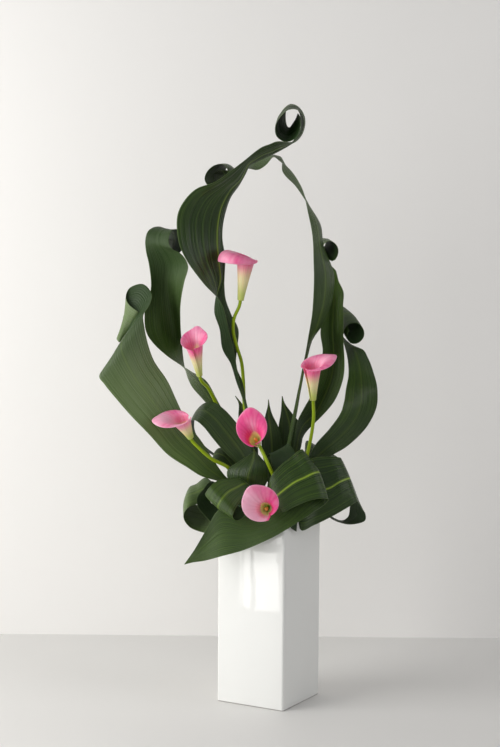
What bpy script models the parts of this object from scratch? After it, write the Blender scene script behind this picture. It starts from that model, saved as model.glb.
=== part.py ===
"""Ikebana arrangement: rolled and looped broad leaves and six calla lilies in a tall square vase.

The frame is metres with +Z up. The origin is the middle of the vase's base, and -Y is the front.
Leaves are lofted between edge rails that are written in millimetres, from the stalk to the tip.
"""
from math import cos, pi, radians, sin

import bpy
import numpy as np

MM = 0.001

# Vase and foam, in millimetres
VASE_SIDE = 120.0
VASE_HEIGHT = 300.0
VASE_WALL = 5.0
VASE_FLOOR = 8.0
VASE_CORNER = 4.0
VASE_LIP = 1.2
VASE_TURN = radians(-29.1)
CLEARANCE = 0.3
FOAM_RISE = 10.0
FOAM_CHAMFER = 1.5

# Stalks and stems stand in round holes in the foam
HOLE_RADIUS = 5.0
HOLE_SIDES = 8
CUTTER_RISE = 5.0
STRAIGHT_ABOVE = 2.0
STAND_HEIGHT = 270.0
FOAM_TOP = VASE_HEIGHT + FOAM_RISE

# Leaves
STALK_WIDTH = 6.5
STALK_THICKNESS = 3.4
BLADE_THICKNESS = 0.8
TIP_WIDTH = 1.2
LONG_SPAN = 14.0
ACROSS = (-1.0, -0.5, 0.0, 0.5, 1.0)
MIDRIB_DEPTH = 0.05

# Callas
STEM_RADIUS = 3.0
STEM_TOP_RADIUS = 2.6
STEM_INSIDE = 4.0
STEM_BELOW = 6.0
SPATHE_THICKNESS = 0.7
SPATHE_OVERLAP = 0.9
SPATHE_SPREAD = 1.4
SPATHE_EASE = 0.2
SPATHE_TIP = 5.0
SPATHE_ROUND = 16
THROAT = 0.6
THROAT_SLOPE = 0.2
TUBE_FLARE = 1.2
FOOT_LAP = 0.4
LIP_GAP = 0.25
POINT_ANGLE = 0.3
SPATHE_ROWS = (0.0, 0.3, 0.6, 0.68, 0.76, 0.84, 0.92, 1.0)
SPADIX_RADIUS = 3.0
SPADIX_LENGTH = 24.0
SPADIX_SHARE = 0.75

# Colour, roughness and metallic value of each material
FINISHES = {
    "glaze": ((0.90, 0.90, 0.88), 0.12),
    "foam": ((0.10, 0.22, 0.09), 0.95),
    "leaf": ((0.035, 0.10, 0.018), 0.35),
    "stem": ((0.25, 0.34, 0.02), 0.45),
    "spathe": ((0.80, 0.16, 0.38), 0.45),
    "spadix": ((0.85, 0.32, 0.05), 0.80),
}


def leaf_table():
    """Each leaf: its place in the foam, its stalk's points, its rails and how it ends.

    A row of rails is left edge, right edge, or left edge, midrib, right edge.
    """
    return {
        "leaf_tall_left": dict(
            slot=(-14, 4), stalk=[(-28, 4, 398), (-39, 0, 471)],
            rows=[
                ((-48, -3, 504), (-53, 0, 507), (-44, 3, 507)),
                ((-53, -6, 533), (-62, 0, 535), (-54, 4, 532)),
                ((-59, -8, 563), (-76, 0, 560), (-52, 10, 564)),
                ((-65, -10, 586), (-80, 0, 589), (-51, 12, 588)),
                ((-72, -14, 616), (-89, 0, 617), (-63, 14, 614)),
                ((-81, -22, 638), (-87, 2, 642), (-72, 16, 638)),
                ((-105, -30, 664), (-82, 4, 665), (-74, 20, 664)),
                ((-132, -36, 701), (-85, 2, 695), (-73, 26, 697)),
                ((-145, -38, 740), (-88, 0, 729), (-79, 28, 735)),
                ((-142, -42, 777), (-86, -4, 761), (-75, 26, 771)),
                ((-116, -46, 809), (-79, -10, 787), (-64, 22, 799)),
                ((-85, -50, 821), (-66, -15, 810), (-51, 16, 815)),
                ((-58, -54, 840), (-50, -18, 827), (-41, 12, 835)),
                ((-41, -52, 854), (-33, 4, 847)),
                ((-29, -51, 864), (-26, 6, 850)),
                ((-15, -50, 873), (-13, 8, 857)),
                ((-4, -51, 877), (1, 9, 863)),
                ((8, -52, 882), (17, 11, 871)),
                ((19, -54, 882), (29, 12, 879)),
                ((31, -56, 881), (37, 12, 890)),
                ((42, -56, 890), (43, 12, 901)),
                ((48, -56, 903), (44, 12, 914)),
                ((48, -56, 915), (43, 12, 925)),
                ((43, -56, 925), (39, 12, 933)),
                ((35, -56, 930), (35, 12, 938)),
                ((24, -56, 929), (29, 12, 940)),
                ((14, -56, 921), (23, 12, 934)),
                ((6, -56, 910), (21, 12, 924)),
                ((4, -56, 898), (21, 10, 914)),
                ((8, -56, 888), (23, 6, 906)),
                ((18, -56, 882), (27, 0, 904)),
                ((31, -56, 884), (32, -8, 911)),
                ((40, -56, 893), (36, -16, 918)),
                ((43, -55, 904), (38, -26, 923)),
                ((43, -54, 914), (39, -36, 925)),
            ]),
        "leaf_tall_right": dict(
            slot=(12, 18), stalk=[(30, 18, 408), (39, 16, 455)],
            rows=[
                ((49, 12, 522), (54, 14, 525)),
                ((53, 8, 545), (59, 16, 547)),
                ((58, 0, 571), (65, 20, 571)),
                ((62, -8, 601), (82, 22, 596)),
                ((66, -14, 638), (97, 24, 640)),
                ((66, -18, 681), (99, 24, 673)),
                ((65, -14, 720), (83, 26, 719)),
                ((60, -6, 759), (76, 30, 755)),
                ((53, 4, 788), (55, 40, 789)),
                ((47, 12, 811), (38, 50, 812)),
                ((30, 20, 837), (17, 60, 837)),
                ((12, 16, 852), (14, 48, 859)),
                ((2, 20, 859), (1, 56, 862)),
                ((-10, 22, 846), (-13, 64, 865)),
                ((-24, 24, 838), (-27, 70, 858)),
                ((-38, 26, 840), (-38, 72, 850)),
                ((-54, 28, 832), (-47, 70, 838)),
                ((-65, 30, 828), (-53, 68, 830)),
                ((-69, 32, 835), (-56, 71, 836)),
                ((-71, 32, 842), (-60, 74, 841)),
                ((-77, 34, 847), (-66, 78, 844)),
                ((-90, 34, 845), (-72, 80, 842)),
                ((-102, 34, 835), (-75, 82, 834)),
                ((-106, 34, 823), (-74, 82, 824)),
                ((-101, 34, 814), (-70, 82, 816)),
                ((-90, 36, 813), (-63, 80, 815)),
                ((-80, 38, 819), (-59, 78, 820)),
                ((-75, 40, 828), (-59, 77, 828)),
                ((-76, 42, 835), (-63, 76, 834)),
                ((-84, 44, 838), (-68, 75, 834)),
                ((-92, 46, 832), (-70, 74, 828)),
            ]),
        "leaf_mid_left": dict(
            slot=(-30, 14), stalk=[(-50, 32, 412)],
            rows=[
                ((-91, 42, 456), (-78, 40, 461)),
                ((-107, 40, 473), (-87, 28, 480)),
                ((-126, 34, 498), (-103, 6, 509)),
                ((-136, 28, 524), (-127, -16, 527)),
                ((-139, 24, 552), (-160, -16, 547)),
                ((-141, 14, 581), (-154, 34, 577), (-192, -4, 579)),
                ((-143, 10, 619), (-160, 42, 616), (-199, 14, 612)),
                ((-136, 4, 663), (-166, 42, 658), (-190, 28, 652)),
                ((-131, 0, 693), (-163, 28, 691), (-193, 26, 691)),
                ((-142, -4, 709), (-171, 14, 710), (-197, 20, 710)),
                ((-157, -6, 717), (-198, 18, 726)),
                ((-161, -4, 730), (-195, 22, 740)),
                ((-156, 4, 743), (-186, 32, 748)),
                ((-146, 13, 744), (-174, 44, 748)),
                ((-138, 18, 732), (-166, 50, 738)),
                ((-139, 18, 714), (-166, 50, 724)),
                ((-148, 14, 707), (-173, 46, 716)),
                ((-155, 9, 716), (-177, 42, 724)),
                ((-153, 11, 729), (-174, 43, 733)),
            ]),
        "leaf_low_left": dict(
            slot=(-44, -14), stalk=[(-50, -26, 338)],
            rows=[
                ((-82, -35, 355), (-72, -30, 365)),
                ((-104, -40, 362), (-87, -28, 385)),
                ((-129, -46, 378), (-106, -28, 415)),
                ((-158, -52, 398), (-130, -28, 447)),
                ((-187, -56, 430), (-147, -30, 483)),
                ((-216, -60, 461), (-162, -32, 514)),
                ((-239, -62, 488), (-183, -34, 547)),
                ((-256, -62, 509), (-192, -36, 575)),
                ((-264, -58, 521), (-196, -36, 597)),
                ((-253, -46, 537), (-198, -32, 612)),
                ((-237, -30, 556), (-188, -18, 630)),
                ((-230, -18, 569), (-188, 4, 647)),
                ((-233, -6, 576), (-205, 20, 659)),
                ((-239, -6, 577), (-222, 22, 653)),
                ((-240, -16, 574), (-228, 8, 639)),
                ((-236, -20, 570), (-220, -6, 626)),
                ((-232, -14, 571), (-206, -12, 617)),
            ]),
        "leaf_mid_right": dict(
            slot=(26, 22), stalk=[(34, 25, 351)],
            rows=[
                ((37, 26, 396), (46, 30, 395)),
                ((43, 26, 441), (59, 36, 425)),
                ((54, 26, 463), (72, 46, 454), (83, 40, 449)),
                ((66, 28, 487), (86, 52, 480), (103, 40, 475)),
                ((75, 30, 517), (97, 56, 510), (115, 40, 505)),
                ((82, 30, 552), (100, 56, 547), (117, 38, 542)),
                ((79, 30, 584), (98, 56, 582), (115, 36, 581)),
                ((81, 32, 612), (99, 56, 614), (114, 36, 622)),
                ((81, 34, 638), (99, 54, 640), (115, 36, 646)),
                ((77, 42, 666), (92, 52, 664), (106, 36, 665)),
                ((75, 44, 686), (104, 35, 675)),
                ((72, 48, 702), (101, 34, 683)),
                ((71, 56, 711), (93, 34, 690)),
                ((71, 66, 717), (85, 34, 695)),
                ((72, 76, 722), (81, 34, 704)),
                ((74, 80, 727), (80, 34, 715)),
                ((78, 82, 730), (84, 34, 725)),
                ((83, 82, 729), (92, 34, 728)),
                ((86, 82, 725), (100, 34, 724)),
                ((86, 82, 719), (105, 34, 715)),
                ((82, 81, 716), (104, 34, 704)),
                ((78, 80, 719), (98, 35, 696)),
                ((79, 79, 723), (91, 36, 698)),
                ((82, 78, 724), (87, 37, 705)),
            ]),
        "leaf_low_right": dict(
            slot=(40, 10), stalk=[(53, 8, 360)],
            rows=[
                ((60, 8, 383), (73, 12, 374)),
                ((71, 4, 407), (98, 14, 389)),
                ((93, 0, 433), (125, 18, 406)),
                ((111, -4, 461), (155, 16, 438)),
                ((116, 2, 476), (168, 14, 468)),
                ((119, 16, 492), (169, 12, 494)),
                ((124, 38, 516), (163, 28, 521)),
                ((122, 56, 544), (155, 40, 542)),
                ((116, 74, 567), (145, 46, 556)),
                ((110, 84, 583), (130, 46, 560)),
                ((106, 90, 598), (116, 46, 571)),
                ((105, 92, 609), (117, 46, 587)),
                ((109, 92, 618), (126, 46, 597)),
                ((116, 92, 620), (138, 46, 597)),
                ((122, 92, 614), (147, 46, 587)),
                ((123, 92, 605), (147, 46, 574)),
                ((118, 92, 600), (138, 47, 565)),
                ((111, 91, 602), (127, 48, 565)),
                ((109, 90, 608), (121, 49, 575)),
                ((112, 89, 613), (125, 50, 586)),
            ]),
        "leaf_loop_back": dict(
            slot=(-28, -6), stalk=[(-28, -5, 336)],
            rows=[
                ((-37, -12, 355), (-25, -12, 361)),
                ((-53, -14, 380), (-27, -12, 398)),
                ((-72, -14, 398), (-38, -8, 423)),
                ((-90, -13, 419), (-56, -2, 446)),
                ((-104, -10, 436), (-73, 5, 463)),
                ((-115, -6, 445), (-91, 14, 473)),
                ((-123, 4, 446), (-107, 24, 469)),
                ((-126, 16, 439), (-117, 36, 456)),
                ((-124, 24, 422), (-121, 46, 427)),
                ((-107, 28, 398), (-105, 46, 398)),
                ((-89, 28, 385), (-86, 42, 384)),
            ],
            tip=(-75, 28, 374)),
        "leaf_front": dict(
            slot=(10, -48), stalk=[(10, -66, 328)],
            rows=[
                ((-1, -72, 357), (8, -86, 336), (18, -96, 318)),
                ((14, -68, 383), (36, -82, 359), (40, -98, 327)),
                ((33, -60, 398), (54, -76, 367), (65, -92, 336)),
                ((46, -56, 408), (68, -70, 373), (86, -84, 337)),
                ((50, -51, 408), (73, -65, 373), (91, -78, 334)),
                ((47, -46, 402), (71, -59, 366), (88, -71, 328)),
                ((34, -60, 371), (65, -80, 313)),
                ((16, -72, 324), (35, -90, 295)),
                ((-7, -76, 308), (1, -92, 275)),
                ((-35, -78, 306), (-36, -90, 258)),
                ((-76, -76, 318), (-73, -86, 246)),
                ((-98, -76, 285), (-102, -80, 237)),
                ((-117, -77, 252), (-119, -78, 234)),
            ],
            tip=(-131, -76, 231)),
        "leaf_loop_right": dict(
            slot=(46, -10), stalk=[(46, -22, 333)],
            rows=[
                ((47, -24, 368), (50, -50, 329), (47, -66, 286)),
                ((61, -20, 387), (75, -36, 339), (69, -56, 290)),
                ((82, -14, 391), (94, -30, 344), (99, -46, 303)),
                ((101, -8, 390), (110, -24, 353), (121, -36, 314)),
                ((112, 0, 388), (122, -14, 356), (137, -26, 322)),
                ((113, 10, 384), (124, -2, 353), (140, -14, 317)),
                ((121, 14, 352), (145, -12, 309)),
                ((128, 18, 321), (151, -8, 299)),
                ((128, 20, 303), (150, -2, 287)),
                ((126, 20, 291), (139, 2, 282)),
                ((119, 20, 285), (126, 4, 280)),
                ((110, 20, 285), (111, 6, 283)),
                ((98, 18, 291), (98, 8, 289)),
            ],
            tip=(89, 14, 295)),
        "leaf_loop_left": dict(
            slot=(-56, -4), stalk=[(-69, -12, 324)],
            rows=[
                ((-86, -18, 322), (-85, -6, 342)),
                ((-101, -24, 321), (-101, 6, 353)),
                ((-115, -36, 318), (-117, 12, 342)),
                ((-126, -44, 315), (-127, 14, 338)),
                ((-133, -44, 305), (-131, 16, 330)),
                ((-133, -40, 294), (-131, 16, 320)),
                ((-126, -34, 282), (-127, 16, 312)),
                ((-112, -30, 274), (-112, 12, 308)),
                ((-100, -32, 272), (-100, 6, 308)),
                ((-91, -36, 275), (-91, -2, 311)),
                ((-83, -42, 283), (-85, -12, 314)),
            ]),
        "leaf_loop_inner": dict(
            slot=(-40, -30), stalk=[(-60, -34, 334)],
            rows=[
                ((-74, -50, 346), (-70, -40, 341)),
                ((-91, -57, 358), (-84, -38, 346)),
                ((-103, -60, 345), (-90, -35, 338)),
                ((-113, -60, 331), (-93, -34, 327)),
                ((-112, -58, 319), (-92, -34, 321)),
                ((-102, -56, 305), (-84, -34, 316)),
                ((-89, -56, 292), (-76, -38, 310)),
            ]),
        "leaf_loop_front": dict(
            slot=(-22, -42), stalk=[(-25, -54, 334)],
            rows=[
                ((-30, -72, 347), (-46, -60, 364)),
                ((-39, -84, 338), (-63, -68, 364)),
                ((-48, -94, 328), (-80, -76, 362)),
                ((-54, -102, 318), (-92, -84, 354)),
                ((-56, -102, 310), (-99, -84, 343)),
                ((-50, -96, 304), (-98, -76, 337)),
                ((-41, -92, 307), (-87, -72, 336)),
                ((-35, -88, 317), (-74, -68, 338)),
            ]),
        "leaf_centre": dict(
            slot=(-12, -30), stalk=[(-17, -34, 330)],
            rows=[
                ((-46, -42, 344), (-12, -42, 341)),
                ((-65, -46, 360), (-34, -54, 362), (-4, -46, 357)),
                ((-65, -46, 376), (-31, -54, 376), (-3, -46, 373)),
                ((-46, -44, 389), (-26, -50, 390), (-9, -44, 388)),
            ],
            tip=(-24, -42, 404)),
        "leaf_centre_roll": dict(
            slot=(4, -6), stalk=[(8, -8, 330)],
            rows=[
                ((-6, -10, 356), (29, 0, 361)),
                ((-9, -12, 379), (33, 0, 387)),
                ((-3, -14, 395), (28, 2, 409)),
                ((0, -24, 396), (33, -8, 407)),
                ((2, -32, 385), (41, -18, 394)),
                ((8, -34, 370), (38, -24, 378)),
            ]),
        "leaf_back_right": dict(
            slot=(30, 40), stalk=[(49, 42, 342)],
            rows=[
                ((56, 50, 383), (62, 34, 374)),
                ((58, 56, 406), (69, 24, 382)),
                ((71, 60, 401), (85, 24, 377)),
                ((90, 62, 389), (101, 28, 367)),
                ((110, 60, 378), (117, 36, 359)),
                ((121, 54, 360), (122, 40, 343)),
            ],
            tip=(126, 46, 332)),
        "leaf_back_left": dict(
            slot=(-48, 10), stalk=[(-46, 9, 337)],
            rows=[
                ((-57, -2, 354), (-49, 12, 368)),
                ((-68, -4, 369), (-60, 14, 387)),
                ((-78, -4, 380), (-72, 16, 398)),
                ((-87, -2, 382), (-82, 17, 399)),
                ((-91, 1, 373), (-89, 16, 391)),
                ((-88, 4, 362), (-86, 12, 377)),
            ],
            tip=(-80, 8, 360)),
        "leaf_point_left": dict(
            slot=(-20, 48), stalk=[(-28, 48, 340)],
            rows=[
                ((-48, 48, 376), (-19, 50, 379)),
                ((-51, 48, 416), (-23, 52, 421)),
                ((-51, 48, 448), (-34, 50, 453)),
                ((-51, 48, 468), (-47, 49, 469)),
            ],
            tip=(-56, 48, 479)),
        "leaf_point_mid": dict(
            slot=(-4, 42), stalk=[(0, 43, 344)],
            rows=[
                ((-13, 42, 393), (19, 44, 396)),
                ((-13, 42, 425), (14, 44, 428)),
                ((-8, 44, 448), (3, 45, 451)),
                ((-4, 45, 465), (-1, 46, 465)),
            ],
            tip=(-3, 45, 474)),
        "leaf_point_right": dict(
            slot=(14, 46), stalk=[(23, 50, 343)],
            rows=[
                ((14, 50, 392), (50, 54, 398)),
                ((13, 50, 428), (50, 56, 432)),
                ((17, 51, 453), (35, 54, 451)),
                ((18, 52, 469), (23, 52, 468)),
            ],
            tip=(19, 52, 479)),
        "leaf_rim_roll": dict(
            slot=(28, -38), stalk=[(29, -44, 321)],
            rows=[
                ((28, -56, 323), (40, -49, 322)),
                ((31, -70, 315), (42, -60, 312)),
                ((32, -74, 301), (43, -62, 299)),
                ((33, -75, 289), (42, -63, 281)),
            ]),
    }


def calla_table():
    """Each calla: its place in the foam, its stem's points, and its bloom.

    The bloom has a base point, an axis, the direction of its back, its tube's length, its throat's
    radius, how long its limb is at the back and at the front lip, how far the limb curls over in
    radians, how much more it does at the sides, and how narrow it is.
    """
    return {
        "calla_1": dict(
            slot=(-12, 20),
            stem=[(-31, 20, 412), (-41, 18, 468), (-43, 16, 509), (-46, 10, 538), (-53, 2, 562),
                  (-59, 1, 587), (-58, -2, 606)],
            base=(-48, -6, 636), axis=(0.12, -0.06, 1.0), back=(-1.0, -0.25, 0.05),
            length=64, throat=13, limb=44, lip=6, curl=3.2, roll=0.1, narrow=1.1),
        "calla_2": dict(
            slot=(-38, 2),
            stem=[(-42, 12, 365), (-61, 18, 410), (-77, 20, 450), (-88, 14, 476), (-98, -6, 498)],
            base=(-110, -28, 520), axis=(-0.13, -0.40, 0.90), back=(0.20, 0.90, 0.30),
            length=52, throat=12.5, limb=22, lip=5, curl=1.0, roll=0.0, narrow=1.1),
        "calla_3": dict(
            slot=(32, -6),
            stem=[(49, -6, 353), (58, -8, 391), (66, -14, 434), (68, -18, 458)],
            base=(67, -20, 482), axis=(-0.03, -0.35, 1.0), back=(1.0, 0.30, 0.10),
            length=55, throat=13, limb=29, lip=4, curl=1.7, roll=0.2, narrow=1.2),
        "calla_4": dict(
            slot=(-30, -22),
            stem=[(-36, -26, 345), (-47, -30, 360), (-66, -40, 378), (-90, -50, 392), (-111, -56, 411)],
            base=(-123, -58, 426), axis=(-0.40, -0.40, 0.85), back=(-1.0, -0.1, 0.15),
            length=34, throat=13, limb=33, lip=4, curl=1.6, roll=0.0, narrow=1.8),
        "calla_5": dict(
            slot=(10, -22),
            stem=[(11, -38, 342), (7, -50, 362), (-3, -54, 386)],
            base=(-18, -52, 416), axis=(-0.20, -0.85, 0.45), back=(-0.05, 0.5, 0.85),
            length=30, throat=12, limb=36, lip=2, curl=1.3, roll=0.0, narrow=1.7),
        "calla_6": dict(
            slot=(-4, -46),
            stem=[(-3, -56, 320), (-4, -66, 323)],
            base=(-3, -78, 321), axis=(-0.10, -0.98, 0.08), back=(-0.50, 0.1, 0.85),
            length=26, throat=12, limb=40, lip=4, curl=1.3, roll=0.0, narrow=1.2),
    }


def clear_scene():
    """Remove every object that the scene starts with."""
    for obj in list(bpy.data.objects):
        bpy.data.objects.remove(obj)


def finish(name):
    """The named material, made on first use."""
    material = bpy.data.materials.get(name)
    if material is None:
        colour, roughness = FINISHES[name]
        material = bpy.data.materials.new(name)
        material.use_nodes = True
        shader = material.node_tree.nodes["Principled BSDF"]
        shader.inputs["Base Color"].default_value = (*colour, 1.0)
        shader.inputs["Roughness"].default_value = roughness
        shader.inputs["Metallic"].default_value = 0.0
        material.diffuse_color = (*colour, 1.0)
    return material


def add_object(name, data, material):
    """Link a mesh or curve to the scene as one named object with one material."""
    obj = bpy.data.objects.new(name, data)
    bpy.context.scene.collection.objects.link(obj)
    obj.data.materials.append(finish(material))
    return obj


def mesh_from(name, points, faces):
    """A mesh from points in millimetres, shaded smooth."""
    mesh = bpy.data.meshes.new(name)
    mesh.from_pydata([tuple(p) for p in np.asarray(points, float) * MM], [], faces)
    mesh.shade_smooth()
    return mesh


def unit(vector):
    """The vector at length one."""
    vector = np.asarray(vector, float)
    return vector / np.linalg.norm(vector)


def smooth_through(points):
    """Points on a smooth curve through rows of values. A long span gets a point at its middle too."""
    points = np.asarray(points, float)
    flat = points.reshape(len(points), -1)
    middle = points.mean(axis=1) if points.ndim == 3 else points
    gaps = np.linalg.norm(np.diff(middle, axis=0), axis=1)
    place = np.concatenate([[0.0], np.cumsum(np.maximum(gaps, 0.5))])
    slope = np.gradient(flat, place, axis=0)
    out = []
    for i in range(len(flat) - 1):
        span = place[i + 1] - place[i]
        steps = 2 if span > LONG_SPAN else 1
        for k in range(steps):
            t = k / steps
            out.append((2 * t**3 - 3 * t**2 + 1) * flat[i] + (t**3 - 2 * t**2 + t) * span * slope[i]
                       + (3 * t**2 - 2 * t**3) * flat[i + 1] + (t**3 - t**2) * span * slope[i + 1])
    out.append(flat[-1])
    return np.array(out).reshape((-1,) + points.shape[1:])


def rounded_square(half, corner, z, steps=3):
    """The points of a square with round corners at height z."""
    points = []
    for quarter in range(4):
        for k in range(steps + 1):
            angle = (quarter + k / steps) * pi / 2
            centre = quarter * pi / 2 + pi / 4
            side = (half - corner) * 2**0.5
            points.append((side * cos(centre) + corner * cos(angle),
                           side * sin(centre) + corner * sin(angle), z))
    return points


def loft_solid(name, rings):
    """A closed solid through rings of equal count, with flat caps at both ends."""
    count = len(rings[0])
    faces = [list(range(count))[::-1]]
    for r in range(len(rings) - 1):
        for k in range(count):
            a = r * count + k
            b = r * count + (k + 1) % count
            faces.append([a, b, b + count, a + count])
    faces.append([(len(rings) - 1) * count + k for k in range(count)])
    return mesh_from(name, [p for ring in rings for p in ring], faces)


def build_vase():
    """The vase: an outer wall, a small rounded lip and a hollow down to its floor."""
    outer = VASE_SIDE / 2
    inner = outer - VASE_WALL
    inside = VASE_CORNER - 1
    rings = [
        rounded_square(outer - VASE_LIP, VASE_CORNER - VASE_LIP, 0.0),
        rounded_square(outer, VASE_CORNER, VASE_LIP),
        rounded_square(outer, VASE_CORNER, VASE_HEIGHT - VASE_LIP),
        rounded_square(outer - VASE_LIP, VASE_CORNER - VASE_LIP, VASE_HEIGHT),
        rounded_square(inner + VASE_LIP, inside + VASE_LIP, VASE_HEIGHT),
        rounded_square(inner, inside, VASE_HEIGHT - VASE_LIP),
        rounded_square(inner, inside, VASE_FLOOR),
    ]
    vase = add_object("vase", loft_solid("vase", rings), "glaze")
    vase.rotation_euler.z = VASE_TURN
    vase.data.set_sharp_from_angle(angle=radians(35))


def hole_cutter(slots):
    """One guide mesh with a plain upright prism for every stalk and stem."""
    points = []
    faces = []
    for x, y in slots:
        start = len(points)
        for z in (STAND_HEIGHT - CLEARANCE, FOAM_TOP + CUTTER_RISE):
            for k in range(HOLE_SIDES):
                angle = 2 * pi * k / HOLE_SIDES
                points.append((x + HOLE_RADIUS * cos(angle), y + HOLE_RADIUS * sin(angle), z))
        ring = range(HOLE_SIDES)
        faces.append([start + k for k in ring][::-1])
        faces.append([start + HOLE_SIDES + k for k in ring])
        for k in ring:
            after = (k + 1) % HOLE_SIDES
            faces.append([start + k, start + after, start + HOLE_SIDES + after, start + HOLE_SIDES + k])
    cutter = add_object("foam_hole_guide", mesh_from("foam_hole_guide", points, faces), "foam")
    cutter.hide_render = True
    cutter.display_type = "WIRE"
    return cutter


def build_foam(slots):
    """The soaked foam block, a little proud of the rim, with a hole for each stalk and stem."""
    half = VASE_SIDE / 2 - VASE_WALL - CLEARANCE
    corner = VASE_CORNER - 1
    rings = [
        rounded_square(half, corner, VASE_FLOOR + CLEARANCE),
        rounded_square(half, corner, FOAM_TOP - FOAM_CHAMFER),
        rounded_square(half - FOAM_CHAMFER, corner - FOAM_CHAMFER, FOAM_TOP),
    ]
    mesh = loft_solid("foam", rings)
    foam = add_object("foam", mesh, "foam")
    foam.rotation_euler.z = VASE_TURN
    holes = foam.modifiers.new("holes", "BOOLEAN")
    holes.operation = "DIFFERENCE"
    holes.solver = "EXACT"
    holes.object = hole_cutter(slots)


def full_row(row):
    """A row as left, midrib, right. A row of two gets its middle as midrib."""
    if len(row) == 3:
        return np.array(row, float)
    left = np.array(row[0], float)
    right = np.array(row[1], float)
    return np.array([left, (left + right) / 2, right])


def stalk_rows(slot, stalk, first_row):
    """Narrow rows from the foot of the hole up to the blade, turned like the blade's first row."""
    across = first_row[2] - first_row[0]
    across[2] = 0.0
    across = unit(across) * STALK_WIDTH / 2
    feet = [(slot[0], slot[1], STAND_HEIGHT), (slot[0], slot[1], FOAM_TOP + STRAIGHT_ABOVE)]
    centres = [np.array(p, float) for p in feet + list(stalk)]
    return [np.array([c - across, c, c + across]) for c in centres]


def tip_row(tip, last_row):
    """A very narrow row at the leaf's point."""
    tip = np.array(tip, float)
    across = unit(last_row[2] - last_row[0]) * TIP_WIDTH / 2
    return np.array([tip - across, tip, tip + across])


def leaf_rows(plan):
    """All rows of a leaf as left, midrib, right, and how many of them are stalk."""
    rails = [full_row(row) for row in plan["rows"]]
    stalk = stalk_rows(plan["slot"], plan["stalk"], rails[0])
    rows = stalk + rails
    if "tip" in plan:
        rows = rows + [tip_row(plan["tip"], rails[-1])]
    above = smooth_through(rows[1:])
    stalk_count = 1 + len(smooth_through(stalk[1:])) if len(stalk) > 2 else 2
    return np.array([rows[0]] + list(above)), stalk_count


def blade_points(rows):
    """The sheet's points: straight from the midrib to each edge, with the midrib sunk a little."""
    points = []
    for i, row in enumerate(rows):
        left, mid, right = row
        before = rows[max(i - 1, 0)].mean(axis=0)
        after = rows[min(i + 1, len(rows) - 1)].mean(axis=0)
        normal = np.cross(right - left, after - before)
        length = np.linalg.norm(normal)
        sunk = mid
        if length > 0:
            sunk = mid + normal / length * MIDRIB_DEPTH * np.linalg.norm(right - left)
        for v in ACROSS:
            edge = left if v < 0 else right
            points.append(sunk + abs(v) * (edge - sunk))
    return points


def sheet_faces(rows, columns):
    """Triangles over a grid, all split the same way."""
    faces = []
    for i in range(rows - 1):
        for k in range(columns - 1):
            a = i * columns + k
            b = a + 1
            c = b + columns
            d = a + columns
            faces.append([a, b, c])
            faces.append([a, c, d])
    return faces


def thicken(obj, thickness, thin=None):
    """Give a sheet its thickness, centred, thinner where the group's weight falls."""
    shell = obj.modifiers.new("thickness", "SOLIDIFY")
    shell.thickness = thickness * MM
    shell.offset = 0.0
    shell.use_rim = True
    if thin is not None:
        shell.vertex_group = "stalk"
        shell.thickness_vertex_group = thin / thickness


def build_leaf(name, plan):
    """One leaf: a stalk that widens into a blade, as a sheet with thickness."""
    rows, stalk_count = leaf_rows(plan)
    columns = len(ACROSS)
    mesh = mesh_from(name, blade_points(rows), sheet_faces(len(rows), columns))
    leaf = add_object(name, mesh, "leaf")
    group = leaf.vertex_groups.new(name="stalk")
    for i in range(len(rows)):
        weight = min(1.0, max(0.0, 1.0 - (i - stalk_count) / 3))
        group.add(list(range(i * columns, (i + 1) * columns)), weight, "REPLACE")
    thicken(leaf, STALK_THICKNESS, BLADE_THICKNESS)


def build_stem(name, plan):
    """A calla's stem: a round tube from its hole in the foam up into the bloom's foot."""
    base = np.array(plan["base"], float)
    axis = unit(plan["axis"])
    slot = plan["slot"]
    route = [(*slot, FOAM_TOP + STRAIGHT_ABOVE), *plan["stem"], base - axis * STEM_BELOW,
             base + axis * STEM_INSIDE]
    smooth = smooth_through(route)
    points = [np.array((*slot, STAND_HEIGHT), float)] + list(smooth)
    curve = bpy.data.curves.new(name, "CURVE")
    curve.dimensions = "3D"
    curve.bevel_depth = STEM_RADIUS * MM
    curve.bevel_resolution = 2
    curve.use_fill_caps = True
    spline = curve.splines.new("POLY")
    spline.points.add(len(points) - 1)
    for i, point in enumerate(points):
        spline.points[i].co = (*(point * MM), 1.0)
        spline.points[i].radius = 1.0 - (1.0 - STEM_TOP_RADIUS / STEM_RADIUS) * i / (len(points) - 1)
    add_object(name + "_stem", curve, "stem")


def bloom_frame(plan):
    """The bloom's base point, its axis, its back direction and its side direction."""
    axis = unit(plan["axis"])
    back = np.array(plan["back"], float)
    back = unit(back - axis * back.dot(axis))
    return np.array(plan["base"], float), axis, back, np.cross(axis, back)


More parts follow.
